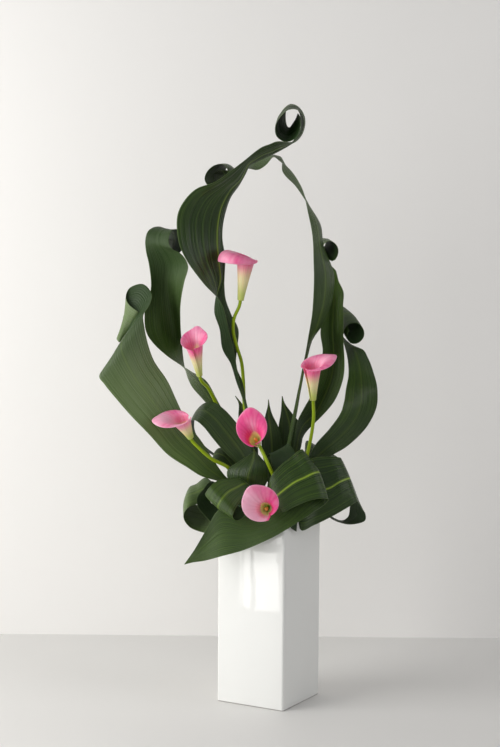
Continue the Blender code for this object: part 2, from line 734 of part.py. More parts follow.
def spathe_point(plan, frame, u, v):
    """A point of the spathe: u runs from its foot to its rim, v from one edge round to the other.

    The tube widens evenly to the throat, where its two edges overlap in front. Past it the limb bends
    out and over along an arc, longest at the back, where it ends in a point.
    """
    base, axis, back, side = frame
    foot = STEM_TOP_RADIUS + CLEARANCE + SPATHE_THICKNESS / 2 + SPATHE_OVERLAP + SPATHE_EASE
    tube = min(u / THROAT, 1.0)
    past = max(0.0, (u - THROAT) / (1 - THROAT))
    angle = v * (pi + FOOT_LAP * (1 - tube) - LIP_GAP * past)
    behind = (1 + cos(angle)) / 2
    curl = plan["curl"] + plan["roll"] * sin(angle)**2
    reach = plan["lip"] + (plan["limb"] - plan["lip"]) * behind**plan["narrow"]
    reach += SPATHE_TIP * np.exp(-(angle / POINT_ANGLE)**2)
    bend = THROAT_SLOPE + curl * past
    radius = foot + (plan["throat"] - foot) * tube**TUBE_FLARE + v * (SPATHE_OVERLAP + SPATHE_SPREAD * u)
    radius += reach / curl * (cos(THROAT_SLOPE) - cos(bend))
    height = plan["length"] * tube + reach / curl * (sin(bend) - sin(THROAT_SLOPE))
    return base + axis * height + (back * cos(angle) + side * sin(angle)) * radius


def build_spathe(name, plan):
    """The bloom's single petal, rolled round with its edges overlapping."""
    frame = bloom_frame(plan)
    points = []
    for u in SPATHE_ROWS:
        for k in range(SPATHE_ROUND + 1):
            points.append(spathe_point(plan, frame, u, 2 * k / SPATHE_ROUND - 1))
    mesh = mesh_from(name, points, sheet_faces(len(SPATHE_ROWS), SPATHE_ROUND + 1))
    spathe = add_object(name + "_spathe", mesh, "spathe")
    thicken(spathe, SPATHE_THICKNESS)


def build_spadix(name, plan):
    """The bloom's rod, standing on the stem's end."""
    base, axis, back, side = bloom_frame(plan)
    start = STEM_INSIDE + CLEARANCE
    length = min(SPADIX_LENGTH, plan["length"] * SPADIX_SHARE)
    rings = []
    for share, size in ((0.0, 0.45), (0.25, 0.75), (0.6, 1.0), (0.88, 0.85), (1.0, 0.35)):
        centre = base + axis * (start + length * share)
        radius = SPADIX_RADIUS * size
        rings.append([centre + (back * cos(a) + side * sin(a)) * radius
                      for a in (2 * pi * k / 8 for k in range(8))])
    add_object(name + "_spadix", loft_solid(name + "_spadix", rings), "spadix")


def main():
    """Build the whole arrangement."""
    clear_scene()
    leaves = leaf_table()
    callas = calla_table()
    slots = [plan["slot"] for plan in [*leaves.values(), *callas.values()]]
    build_vase()
    build_foam(slots)
    for name, plan in leaves.items():
        build_leaf(name, plan)
    for name, plan in callas.items():
        build_stem(name, plan)
        build_spathe(name, plan)
        build_spadix(name, plan)


main()
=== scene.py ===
"""Ikebana arrangement: broad rolled and looped leaves and calla lilies in a tall square vase.

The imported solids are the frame. Leaves, stems and blooms are drawn again here as finer surfaces
along the same rails, which are written in millimetres with +Z up and -Y at the front.
"""
from functools import partial
from math import cos, pi, radians, sin

import bpy
import numpy as np
from bpy.props import FloatProperty, FloatVectorProperty, PointerProperty
from mathutils import Matrix


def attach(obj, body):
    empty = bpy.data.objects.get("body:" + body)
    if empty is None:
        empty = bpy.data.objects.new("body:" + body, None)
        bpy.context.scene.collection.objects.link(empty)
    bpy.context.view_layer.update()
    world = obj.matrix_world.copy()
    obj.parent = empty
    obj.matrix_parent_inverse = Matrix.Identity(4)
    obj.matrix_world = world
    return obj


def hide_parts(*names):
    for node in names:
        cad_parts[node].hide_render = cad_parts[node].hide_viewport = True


bl_info = {
    "name": "Ikebana arrangement",
    "version": (1, 0, 0),
    "blender": (4, 5, 0),
    "location": "3D View > Sidebar > Ikebana",
    "description": "Builds rolled and looped leaves with calla lilies in a square vase",
    "category": "Add Mesh",
}

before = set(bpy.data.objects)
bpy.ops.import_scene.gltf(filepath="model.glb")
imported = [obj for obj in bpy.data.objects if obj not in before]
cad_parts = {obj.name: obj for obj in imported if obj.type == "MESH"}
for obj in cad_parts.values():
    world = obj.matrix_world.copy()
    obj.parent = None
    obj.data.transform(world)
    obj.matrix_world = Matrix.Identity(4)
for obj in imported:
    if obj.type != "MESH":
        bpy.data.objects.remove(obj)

MM = 0.001

# Vase and foam, in millimetres and radians
VASE_SIDE = 120.0
VASE_HEIGHT = 300.0
VASE_WALL = 5.0
VASE_FLOOR = 8.0
VASE_CORNER = 4.0
INNER_CORNER = 3.0
VASE_TURN = radians(-29.1)
SHARP_ANGLE = radians(50)
FOOT_WIDTH = 9.0
FOOT_SLOPE = 1.0
FOOT_RECESS = 1.5
FOAM_TOP = 310.0
STAND_HEIGHT = 270.0
STRAIGHT_ABOVE = 2.0

# Leaves, in millimetres. The midrib's depth is a share of the width, and where the leaf rolls is
# a share of its length. The phase turns each leaf's waves on from those of the leaf before
STALK_WIDTH = 6.5
STALK_THICKNESS = 3.2
STALK_ROWS = 8
BLADE_THICKNESS = 0.7
BLADE_START = 35.0
BLADE_END = 30.0
TIP_WIDTH = 1.2
MIDRIB_DEPTH = 0.05
RIB_HEIGHT = 0.6
RIB_SINK = 0.3
RIB_HALF_WIDTH = 2.0
PLEATS = 6.5
CREASE_SHADE = 0.24
WAVE_LENGTH = 65.0
ROLL_START = 0.62
ROLL_END = 0.80
COLUMNS = 45
LEAF_PHASE = 1.7

# Callas, in millimetres and radians. The throat is at a share of the petal's length, and the
# spadix reaches a share of the tube's length at most
CLEARANCE = 0.3
STEM_RADIUS = 3.0
STEM_TOP_RADIUS = 2.6
STEM_INSIDE = 4.0
STEM_BELOW = 6.0
STEM_STEP = 4.0
STEM_SIDES = 20
SPATHE_THICKNESS = 0.7
SPATHE_OVERLAP = 0.9
SPATHE_SPREAD = 1.4
SPATHE_EASE = 0.2
SPATHE_TIP = 5.0
SPATHE_ROWS = 61
SPATHE_COLUMNS = 97
THROAT = 0.6
THROAT_SLOPE = 0.2
TUBE_FLARE = 1.2
FOOT_LAP = 0.4
LIP_GAP = 0.25
POINT_ANGLE = 0.3
SPADIX_RADIUS = 3.0
SPADIX_LENGTH = 24.0
SPADIX_SHARE = 0.75
SPADIX_PROFILE = ((0, 0.25, 0.6, 0.88, 0.97, 1.0), (0.45, 0.75, 1.0, 0.85, 0.55, 0.2))
SPADIX_RINGS = 49
SPADIX_SIDES = 48
BEADS_ROUND = 8
BEADS_ALONG = 2.6

# Each leaf: its place in the foam, its stalk's points, its rails and, if it has one, its tip.
# A row of rails is left edge and right edge, or left edge, midrib and right edge
LEAVES = {
    "leaf_tall_left": dict(
        slot=(-14, 4), stalk=[(-28, 4, 398), (-39, 0, 471)],
        rows=[
            ((-48, -3, 504), (-53, 0, 507), (-44, 3, 507)),
            ((-53, -6, 533), (-62, 0, 535), (-54, 4, 532)),
            ((-59, -8, 563), (-76, 0, 560), (-52, 10, 564)),
            ((-65, -10, 586), (-80, 0, 589), (-51, 12, 588)),
            ((-72, -14, 616), (-89, 0, 617), (-63, 14, 614)),
            ((-81, -22, 638), (-87, 2, 642), (-72, 16, 638)),
            ((-105, -30, 664), (-82, 4, 665), (-74, 20, 664)),
            ((-132, -36, 701), (-85, 2, 695), (-73, 26, 697)),
            ((-145, -38, 740), (-88, 0, 729), (-79, 28, 735)),
            ((-142, -42, 777), (-86, -4, 761), (-75, 26, 771)),
            ((-116, -46, 809), (-79, -10, 787), (-64, 22, 799)),
            ((-85, -50, 821), (-66, -15, 810), (-51, 16, 815)),
            ((-58, -54, 840), (-50, -18, 827), (-41, 12, 835)), ((-41, -52, 854), (-33, 4, 847)),
            ((-29, -51, 864), (-26, 6, 850)), ((-15, -50, 873), (-13, 8, 857)),
            ((-4, -51, 877), (1, 9, 863)), ((8, -52, 882), (17, 11, 871)),
            ((19, -54, 882), (29, 12, 879)), ((31, -56, 881), (37, 12, 890)),
            ((42, -56, 890), (43, 12, 901)), ((48, -56, 903), (44, 12, 914)),
            ((48, -56, 915), (43, 12, 925)), ((43, -56, 925), (39, 12, 933)),
            ((35, -56, 930), (35, 12, 938)), ((24, -56, 929), (29, 12, 940)),
            ((14, -56, 921), (23, 12, 934)), ((6, -56, 910), (21, 12, 924)),
            ((4, -56, 898), (21, 10, 914)), ((8, -56, 888), (23, 6, 906)),
            ((18, -56, 882), (27, 0, 904)), ((31, -56, 884), (32, -8, 911)),
            ((40, -56, 893), (36, -16, 918)), ((43, -55, 904), (38, -26, 923)),
            ((43, -54, 914), (39, -36, 925)),
        ]),
    "leaf_tall_right": dict(
        slot=(12, 18), stalk=[(30, 18, 408), (39, 16, 455)],
        rows=[
            ((49, 12, 522), (54, 14, 525)), ((53, 8, 545), (59, 16, 547)),
            ((58, 0, 571), (65, 20, 571)), ((62, -8, 601), (82, 22, 596)),
            ((66, -14, 638), (97, 24, 640)), ((66, -18, 681), (99, 24, 673)),
            ((65, -14, 720), (83, 26, 719)), ((60, -6, 759), (76, 30, 755)),
            ((53, 4, 788), (55, 40, 789)), ((47, 12, 811), (38, 50, 812)),
            ((30, 20, 837), (17, 60, 837)), ((12, 16, 852), (14, 48, 859)),
            ((2, 20, 859), (1, 56, 862)), ((-10, 22, 846), (-13, 64, 865)),
            ((-24, 24, 838), (-27, 70, 858)), ((-38, 26, 840), (-38, 72, 850)),
            ((-54, 28, 832), (-47, 70, 838)), ((-65, 30, 828), (-53, 68, 830)),
            ((-69, 32, 835), (-56, 71, 836)), ((-71, 32, 842), (-60, 74, 841)),
            ((-77, 34, 847), (-66, 78, 844)), ((-90, 34, 845), (-72, 80, 842)),
            ((-102, 34, 835), (-75, 82, 834)), ((-106, 34, 823), (-74, 82, 824)),
            ((-101, 34, 814), (-70, 82, 816)), ((-90, 36, 813), (-63, 80, 815)),
            ((-80, 38, 819), (-59, 78, 820)), ((-75, 40, 828), (-59, 77, 828)),
            ((-76, 42, 835), (-63, 76, 834)), ((-84, 44, 838), (-68, 75, 834)),
            ((-92, 46, 832), (-70, 74, 828)),
        ]),
    "leaf_mid_left": dict(
        slot=(-30, 14), stalk=[(-50, 32, 412)],
        rows=[
            ((-91, 42, 456), (-78, 40, 461)), ((-107, 40, 473), (-87, 28, 480)),
            ((-126, 34, 498), (-103, 6, 509)), ((-136, 28, 524), (-127, -16, 527)),
            ((-139, 24, 552), (-160, -16, 547)),
            ((-141, 14, 581), (-154, 34, 577), (-192, -4, 579)),
            ((-143, 10, 619), (-160, 42, 616), (-199, 14, 612)),
            ((-136, 4, 663), (-166, 42, 658), (-190, 28, 652)),
            ((-131, 0, 693), (-163, 28, 691), (-193, 26, 691)),
            ((-142, -4, 709), (-171, 14, 710), (-197, 20, 710)), ((-157, -6, 717), (-198, 18, 726)),
            ((-161, -4, 730), (-195, 22, 740)), ((-156, 4, 743), (-186, 32, 748)),
            ((-146, 13, 744), (-174, 44, 748)), ((-138, 18, 732), (-166, 50, 738)),
            ((-139, 18, 714), (-166, 50, 724)), ((-148, 14, 707), (-173, 46, 716)),
            ((-155, 9, 716), (-177, 42, 724)), ((-153, 11, 729), (-174, 43, 733)),
        ]),
    "leaf_low_left": dict(
        slot=(-44, -14), stalk=[(-50, -26, 338)],
        rows=[
            ((-82, -35, 355), (-72, -30, 365)), ((-104, -40, 362), (-87, -28, 385)),
            ((-129, -46, 378), (-106, -28, 415)), ((-158, -52, 398), (-130, -28, 447)),
            ((-187, -56, 430), (-147, -30, 483)), ((-216, -60, 461), (-162, -32, 514)),
            ((-239, -62, 488), (-183, -34, 547)), ((-256, -62, 509), (-192, -36, 575)),
            ((-264, -58, 521), (-196, -36, 597)), ((-253, -46, 537), (-198, -32, 612)),
            ((-237, -30, 556), (-188, -18, 630)), ((-230, -18, 569), (-188, 4, 647)),
            ((-233, -6, 576), (-205, 20, 659)), ((-239, -6, 577), (-222, 22, 653)),
            ((-240, -16, 574), (-228, 8, 639)), ((-236, -20, 570), (-220, -6, 626)),
            ((-232, -14, 571), (-206, -12, 617)),
        ]),
    "leaf_mid_right": dict(
        slot=(26, 22), stalk=[(34, 25, 351)],
        rows=[
            ((37, 26, 396), (46, 30, 395)), ((43, 26, 441), (59, 36, 425)),
            ((54, 26, 463), (72, 46, 454), (83, 40, 449)),
            ((66, 28, 487), (86, 52, 480), (103, 40, 475)),
            ((75, 30, 517), (97, 56, 510), (115, 40, 505)),
            ((82, 30, 552), (100, 56, 547), (117, 38, 542)),
            ((79, 30, 584), (98, 56, 582), (115, 36, 581)),
            ((81, 32, 612), (99, 56, 614), (114, 36, 622)),
            ((81, 34, 638), (99, 54, 640), (115, 36, 646)),
            ((77, 42, 666), (92, 52, 664), (106, 36, 665)), ((75, 44, 686), (104, 35, 675)),
            ((72, 48, 702), (101, 34, 683)), ((71, 56, 711), (93, 34, 690)),
            ((71, 66, 717), (85, 34, 695)), ((72, 76, 722), (81, 34, 704)),
            ((74, 80, 727), (80, 34, 715)), ((78, 82, 730), (84, 34, 725)),
            ((83, 82, 729), (92, 34, 728)), ((86, 82, 725), (100, 34, 724)),
            ((86, 82, 719), (105, 34, 715)), ((82, 81, 716), (104, 34, 704)),
            ((78, 80, 719), (98, 35, 696)), ((79, 79, 723), (91, 36, 698)),
            ((82, 78, 724), (87, 37, 705)),
        ]),
    "leaf_low_right": dict(
        slot=(40, 10), stalk=[(53, 8, 360)],
        rows=[
            ((60, 8, 383), (73, 12, 374)), ((71, 4, 407), (98, 14, 389)),
            ((93, 0, 433), (125, 18, 406)), ((111, -4, 461), (155, 16, 438)),
            ((116, 2, 476), (168, 14, 468)), ((119, 16, 492), (169, 12, 494)),
            ((124, 38, 516), (163, 28, 521)), ((122, 56, 544), (155, 40, 542)),
            ((116, 74, 567), (145, 46, 556)), ((110, 84, 583), (130, 46, 560)),
            ((106, 90, 598), (116, 46, 571)), ((105, 92, 609), (117, 46, 587)),
            ((109, 92, 618), (126, 46, 597)), ((116, 92, 620), (138, 46, 597)),
            ((122, 92, 614), (147, 46, 587)), ((123, 92, 605), (147, 46, 574)),
            ((118, 92, 600), (138, 47, 565)), ((111, 91, 602), (127, 48, 565)),
            ((109, 90, 608), (121, 49, 575)), ((112, 89, 613), (125, 50, 586)),
        ]),
    "leaf_loop_back": dict(
        slot=(-28, -6), stalk=[(-28, -5, 336)], tip=(-75, 28, 374),
        rows=[
            ((-37, -12, 355), (-25, -12, 361)), ((-53, -14, 380), (-27, -12, 398)),
            ((-72, -14, 398), (-38, -8, 423)), ((-90, -13, 419), (-56, -2, 446)),
            ((-104, -10, 436), (-73, 5, 463)), ((-115, -6, 445), (-91, 14, 473)),
            ((-123, 4, 446), (-107, 24, 469)), ((-126, 16, 439), (-117, 36, 456)),
            ((-124, 24, 422), (-121, 46, 427)), ((-107, 28, 398), (-105, 46, 398)),
            ((-89, 28, 385), (-86, 42, 384)),
        ]),
    "leaf_front": dict(
        slot=(10, -48), stalk=[(10, -66, 328)], tip=(-131, -76, 231),
        rows=[
            ((-1, -72, 357), (8, -86, 336), (18, -96, 318)),
            ((14, -68, 383), (36, -82, 359), (40, -98, 327)),
            ((33, -60, 398), (54, -76, 367), (65, -92, 336)),
            ((46, -56, 408), (68, -70, 373), (86, -84, 337)),
            ((50, -51, 408), (73, -65, 373), (91, -78, 334)),
            ((47, -46, 402), (71, -59, 366), (88, -71, 328)), ((34, -60, 371), (65, -80, 313)),
            ((16, -72, 324), (35, -90, 295)), ((-7, -76, 308), (1, -92, 275)),
            ((-35, -78, 306), (-36, -90, 258)), ((-76, -76, 318), (-73, -86, 246)),
            ((-98, -76, 285), (-102, -80, 237)), ((-117, -77, 252), (-119, -78, 234)),
        ]),
    "leaf_loop_right": dict(
        slot=(46, -10), stalk=[(46, -22, 333)], tip=(89, 14, 295),
        rows=[
            ((47, -24, 368), (50, -50, 329), (47, -66, 286)),
            ((61, -20, 387), (75, -36, 339), (69, -56, 290)),
            ((82, -14, 391), (94, -30, 344), (99, -46, 303)),
            ((101, -8, 390), (110, -24, 353), (121, -36, 314)),
            ((112, 0, 388), (122, -14, 356), (137, -26, 322)),
            ((113, 10, 384), (124, -2, 353), (140, -14, 317)), ((121, 14, 352), (145, -12, 309)),
            ((128, 18, 321), (151, -8, 299)), ((128, 20, 303), (150, -2, 287)),
            ((126, 20, 291), (139, 2, 282)), ((119, 20, 285), (126, 4, 280)),
            ((110, 20, 285), (111, 6, 283)), ((98, 18, 291), (98, 8, 289)),
        ]),
    "leaf_loop_left": dict(
        slot=(-56, -4), stalk=[(-69, -12, 324)],
        rows=[
            ((-86, -18, 322), (-85, -6, 342)), ((-101, -24, 321), (-101, 6, 353)),
            ((-115, -36, 318), (-117, 12, 342)), ((-126, -44, 315), (-127, 14, 338)),
            ((-133, -44, 305), (-131, 16, 330)), ((-133, -40, 294), (-131, 16, 320)),
            ((-126, -34, 282), (-127, 16, 312)), ((-112, -30, 274), (-112, 12, 308)),
            ((-100, -32, 272), (-100, 6, 308)), ((-91, -36, 275), (-91, -2, 311)),
            ((-83, -42, 283), (-85, -12, 314)),
        ]),
    "leaf_loop_inner": dict(
        slot=(-40, -30), stalk=[(-60, -34, 334)],
        rows=[
            ((-74, -50, 346), (-70, -40, 341)), ((-91, -57, 358), (-84, -38, 346)),
            ((-103, -60, 345), (-90, -35, 338)), ((-113, -60, 331), (-93, -34, 327)),
            ((-112, -58, 319), (-92, -34, 321)), ((-102, -56, 305), (-84, -34, 316)),
            ((-89, -56, 292), (-76, -38, 310)),
        ]),
    "leaf_loop_front": dict(
        slot=(-22, -42), stalk=[(-25, -54, 334)],
        rows=[
            ((-30, -72, 347), (-46, -60, 364)), ((-39, -84, 338), (-63, -68, 364)),
            ((-48, -94, 328), (-80, -76, 362)), ((-54, -102, 318), (-92, -84, 354)),
            ((-56, -102, 310), (-99, -84, 343)), ((-50, -96, 304), (-98, -76, 337)),
            ((-41, -92, 307), (-87, -72, 336)), ((-35, -88, 317), (-74, -68, 338)),
        ]),
    "leaf_centre": dict(
        slot=(-12, -30), stalk=[(-17, -34, 330)], tip=(-24, -42, 404),
        rows=[
            ((-46, -42, 344), (-12, -42, 341)), ((-65, -46, 360), (-34, -54, 362), (-4, -46, 357)),
            ((-65, -46, 376), (-31, -54, 376), (-3, -46, 373)),
            ((-46, -44, 389), (-26, -50, 390), (-9, -44, 388)),
        ]),
    "leaf_centre_roll": dict(
        slot=(4, -6), stalk=[(8, -8, 330)],
        rows=[
            ((-6, -10, 356), (29, 0, 361)), ((-9, -12, 379), (33, 0, 387)),
            ((-3, -14, 395), (28, 2, 409)), ((0, -24, 396), (33, -8, 407)),
            ((2, -32, 385), (41, -18, 394)), ((8, -34, 370), (38, -24, 378)),
        ]),
    "leaf_back_right": dict(
        slot=(30, 40), stalk=[(49, 42, 342)], tip=(126, 46, 332),
        rows=[
            ((56, 50, 383), (62, 34, 374)), ((58, 56, 406), (69, 24, 382)),
            ((71, 60, 401), (85, 24, 377)), ((90, 62, 389), (101, 28, 367)),
            ((110, 60, 378), (117, 36, 359)), ((121, 54, 360), (122, 40, 343)),
        ]),
    "leaf_back_left": dict(
        slot=(-48, 10), stalk=[(-46, 9, 337)], tip=(-80, 8, 360),
        rows=[
            ((-57, -2, 354), (-49, 12, 368)), ((-68, -4, 369), (-60, 14, 387)),
            ((-78, -4, 380), (-72, 16, 398)), ((-87, -2, 382), (-82, 17, 399)),
            ((-91, 1, 373), (-89, 16, 391)), ((-88, 4, 362), (-86, 12, 377)),
        ]),
    "leaf_point_left": dict(
        slot=(-20, 48), stalk=[(-28, 48, 340)], tip=(-56, 48, 479),
        rows=[
            ((-48, 48, 376), (-19, 50, 379)), ((-51, 48, 416), (-23, 52, 421)),
            ((-51, 48, 448), (-34, 50, 453)), ((-51, 48, 468), (-47, 49, 469)),
        ]),
    "leaf_point_mid": dict(
        slot=(-4, 42), stalk=[(0, 43, 344)], tip=(-3, 45, 474),
        rows=[
            ((-13, 42, 393), (19, 44, 396)), ((-13, 42, 425), (14, 44, 428)),
            ((-8, 44, 448), (3, 45, 451)), ((-4, 45, 465), (-1, 46, 465)),
        ]),
    "leaf_point_right": dict(
        slot=(14, 46), stalk=[(23, 50, 343)], tip=(19, 52, 479),
        rows=[
            ((14, 50, 392), (50, 54, 398)), ((13, 50, 428), (50, 56, 432)),
            ((17, 51, 453), (35, 54, 451)), ((18, 52, 469), (23, 52, 468)),
        ]),
    "leaf_rim_roll": dict(
        slot=(28, -38), stalk=[(29, -44, 321)],
        rows=[
            ((28, -56, 323), (40, -49, 322)), ((31, -70, 315), (42, -60, 312)),
            ((32, -74, 301), (43, -62, 299)), ((33, -75, 289), (42, -63, 281)),
        ]),
}

# How strong a leaf's pleats and its pale midrib are; how light its green is, partly its own tone
# and partly painted light that grows towards the tip and feeds a painted sheen; and how much
# painted shade darkens its second side along the blade and at its end, and its first side at
# its end
LEAF_LOOKS = {
    "leaf_tall_left": (3.2, 0.60, 0.08, 0.8, 0.9, 0.0),
    "leaf_tall_right": (0.8, 0.20, 0.25, 0.6, 0.0, 0.0),
    "leaf_mid_left": (0.6, 0.10, 0.52, 0.35, 0.8, 1.0),
    "leaf_low_left": (0.25, 0.10, 0.72, 0.0, 0.0, 0.9),
    "leaf_mid_right": (0.6, 0.15, 0.30, 0.8, 0.9, 0.0),
    "leaf_low_right": (0.7, 0.10, 0.12, 0.8, 0.9, 0.0),
    "leaf_loop_back": (0.4, 0.10, 0.05, 0.8, 0.8, 0.0),
    "leaf_front": (0.15, 1.00, 0.22, 0.1, 0.1, 0.0),
    "leaf_loop_right": (0.2, 1.00, 0.05, 0.9, 0.6, 0.0),
    "leaf_loop_front": (0.4, 0.40, 0.22, 0.9, 0.9, 0.0),
    "leaf_loop_left": (0.3, 0.20, 0.40, 0.1, 0.1, 0.0),
    "leaf_centre": (0.2, 0.15, 0.05, 0.5, 0.5, 0.0),
}
PLAIN_LOOKS = (0.5, 0.20, 0.05, 0.8, 0.8, 0.0)

# Each calla: its place in the foam, its stem's points, and its bloom. The bloom has a base point,
# an axis, the direction of its back, its tube's length, its throat's radius, how long its limb is
# at the back and at the front lip, how far the limb curls over in radians, how much more it does
# at the sides, how narrow it is, and how pale it is all over and on one half besides
CALLAS = {
    "calla_1": dict(
        slot=(-12, 20),
        stem=[(-31, 20, 412), (-41, 18, 468), (-43, 16, 509), (-46, 10, 538), (-53, 2, 562),
              (-59, 1, 587), (-58, -2, 606)],
        base=(-48, -6, 636), axis=(0.12, -0.06, 1.0), back=(-1.0, -0.25, 0.05),
        length=64, throat=13, limb=44, lip=6, curl=3.2, roll=0.1, narrow=1.1, pale=(0.15, 0.2)),
    "calla_2": dict(
        slot=(-38, 2),
        stem=[(-42, 12, 365), (-61, 18, 410), (-77, 20, 450), (-88, 14, 476), (-98, -6, 498)],
        base=(-110, -28, 520), axis=(-0.13, -0.40, 0.90), back=(0.20, 0.90, 0.30),
        length=52, throat=12.5, limb=22, lip=5, curl=1.0, roll=0.0, narrow=1.1, pale=(0.2, 0.2)),
    "calla_3": dict(
        slot=(32, -6),
        stem=[(49, -6, 353), (58, -8, 391), (66, -14, 434), (68, -18, 458)],
        base=(67, -20, 482), axis=(-0.03, -0.35, 1.0), back=(1.0, 0.30, 0.10),
        length=55, throat=13, limb=29, lip=4, curl=1.7, roll=0.2, narrow=1.2, pale=(0.25, 0.2)),
    "calla_4": dict(
        slot=(-30, -22),
        stem=[(-36, -26, 345), (-47, -30, 360), (-66, -40, 378), (-90, -50, 392),
              (-111, -56, 411)],
        base=(-123, -58, 426), axis=(-0.40, -0.40, 0.85), back=(-1.0, -0.1, 0.15),
        length=34, throat=13, limb=33, lip=4, curl=1.6, roll=0.0, narrow=1.8, pale=(0.5, 0.2)),
    "calla_5": dict(
        slot=(10, -22),
        stem=[(11, -38, 342), (7, -50, 362), (-3, -54, 386)],
        base=(-18, -52, 416), axis=(-0.20, -0.85, 0.45), back=(-0.05, 0.5, 0.85),
        length=30, throat=12, limb=36, lip=2, curl=1.3, roll=0.0, narrow=1.7, pale=(-0.25, 0.0)),
    "calla_6": dict(
        slot=(-4, -46),
        stem=[(-3, -56, 320), (-4, -66, 323)],
        base=(-3, -78, 321), axis=(-0.10, -0.98, 0.08), back=(-0.50, 0.1, 0.85),
        length=26, throat=12, limb=40, lip=4, curl=1.3, roll=0.0, narrow=1.2, pale=(0.0, 1.3)),
}

# Colours of small parts of the finishes
BARE_CLAY = (0.20, 0.18, 0.16)
# The grey green below is partly a film of wax and partly a painted sheen on the lighter leaves
LEAF_WAX_AND_SHEEN = (0.19, 0.23, 0.14)
LEAF_RIM = (0.16, 0.24, 0.07)
LEAF_STALK = (0.07, 0.13, 0.025)
PETAL_HEART = (0.98, 1.0, 0.42)
PETAL_RIM = (0.90, 0.50, 0.62)

# Half the width of the stage and the height of its wall, in metres as all of the stage is
STAGE_HALF = 6.0
WALL_HEIGHT = 5.0

# Each soft light: its name, its place, the point it faces, its width and height, and its colour
LIGHTS = (
    ("window", (-1.6, -0.65, 0.88), (0.0, 0.1, 0.55), (1.5, 1.6), (1.0, 0.99, 0.965)),
    ("card", (1.9, -0.75, 1.0), (0.0, 0.0, 0.45), (1.0, 1.3), (1.0, 0.99, 0.98)),
    ("front", (-0.4, -3.0, 1.8), (0.0, 0.0, 0.5), (1.2, 1.2), (1.0, 0.99, 0.98)),
)

# Low strips of light that the vase's left face mirrors, each its place in X and Y and its width
STRIPS = ((-0.628, -0.371, 0.007), (-0.605, -0.388, 0.030), (-0.524, -0.442, 0.110))
STRIP_LEVEL = 0.095
STRIP_HEIGHT = 0.17
STRIP_AHEAD = (0.85, 0.53)
STRIP_SPREAD = radians(50)
STRIP_COLOUR = (1.0, 0.99, 0.965)

# The light from all round, with its alpha
ROOM_COLOUR = (0.94, 0.96, 1.0, 1.0)

# The photograph's viewing angle
CAMERA_PLACE = (0.0, -2.968, 0.837)
CAMERA_LENS = 91.57
CAMERA_SENSOR = 36.0
CAMERA_REACH = 30.0
CAMERA_YAW = radians(-0.622)
CAMERA_PITCH = radians(6.088)
CAMERA_ROLL = radians(-0.345)

ColourProperty = partial(FloatVectorProperty, subtype="COLOR", size=3, min=0, max=1)


class VaseSettings(bpy.types.PropertyGroup):
    """What a user may change on the vase and its foam."""

    glaze_colour: ColourProperty(
        name="Glaze", description="Colour of the vase's glaze", default=(0.755, 0.757, 0.738))
    foam_colour: ColourProperty(
        name="Foam", description="Colour of the soaked foam", default=(0.045, 0.11, 0.04))
    edge_radius: FloatProperty(
        name="Edge radius", description="Rounding of the foot and of the lip", unit="LENGTH",
        min=0.0005, max=0.002, default=0.0018)


class LeafSettings(bpy.types.PropertyGroup):
    """What a user may change on the leaves."""

    dark_colour: ColourProperty(
        name="Dark green", description="The darker green of the blade",
        default=(0.015, 0.036, 0.005))
    light_colour: ColourProperty(
        name="Light green", description="The lighter green of the blade",
        default=(0.085, 0.155, 0.018))
    # Painted shade: the very dark green that the blade's back and its rolled ends take where they
    # lie in shade
    shaded_back_colour: ColourProperty(
        name="Back", description="Green of the blade's back", default=(0.010, 0.034, 0.003))
    rib_colour: ColourProperty(
        name="Midrib", description="Yellow green of the midrib", default=(0.26, 0.38, 0.035))
    pleat_depth: FloatProperty(
        name="Pleats", description="Depth of the pleats as a share of the blade's width",
        subtype="FACTOR", min=0.0, max=0.01, default=0.0028)
    wave_depth: FloatProperty(
        name="Edge waves", description="How far the edges wave", unit="LENGTH", min=0.0,
        max=0.002, default=0.0005)
    step: FloatProperty(
        name="Step", description="Distance between cross sections", unit="LENGTH", min=0.002,
        max=0.01, default=0.0035)


class CallaSettings(bpy.types.PropertyGroup):
    """What a user may change on the calla lilies."""

    pink_colour: ColourProperty(
        name="Pink", description="Deep pink of the limb", default=(0.78, 0.056, 0.24))
    pale_colour: ColourProperty(
        name="Pale pink", description="Pale pink of the limb", default=(0.96, 0.42, 0.56))
    throat_colour: ColourProperty(
        name="Throat", description="Cream of the throat", default=(0.80, 0.66, 0.36))
    foot_colour: ColourProperty(
        name="Foot", description="Yellow green of the bloom's foot", default=(0.50, 0.56, 0.13))
    stem_colour: ColourProperty(
        name="Stem", description="Green of the stems", default=(0.30, 0.43, 0.003))
    spadix_colour: ColourProperty(
        name="Spadix", description="Orange of the spadix", default=(0.95, 0.50, 0.09))
    bead_height: FloatProperty(
        name="Beads", description="Height of the spadix's beads", unit="LENGTH", min=0.0,
        max=0.0006, default=0.0003)


class StageSettings(bpy.types.PropertyGroup):
    """What a user may change on the floor, the wall and the light."""

    floor_colour: ColourProperty(
        name="Floor", description="Colour of the floor", default=(0.72, 0.71, 0.69))
    wall_colour: ColourProperty(
        name="Wall", description="Colour of the wall", default=(0.82, 0.805, 0.785))
    wall_distance: FloatProperty(
        name="Wall distance", description="Distance from the vase's middle to the wall",
        unit="LENGTH", min=0.2, max=3.0, default=0.40)
    window_power: FloatProperty(
        name="Window light", description="Power of the large light at the left", unit="POWER",
        min=0, max=500, default=33.5)
    card_power: FloatProperty(
        name="Card", description="Power of the soft light at the right", unit="POWER", min=0,
        max=200, default=8.5)
    front_power: FloatProperty(
        name="Front light", description="Power of the soft light above the camera",
        unit="POWER", min=0, max=200, default=7.0)
    strip_power: FloatProperty(
        name="Strips", description="Power of each metre of the low strips that the glaze mirrors",
        unit="POWER", min=0, max=20, default=0.24)
    sky_strength: FloatProperty(
        name="Fill light", description="Strength of the light from all round", min=0, max=5,
        default=0.33)


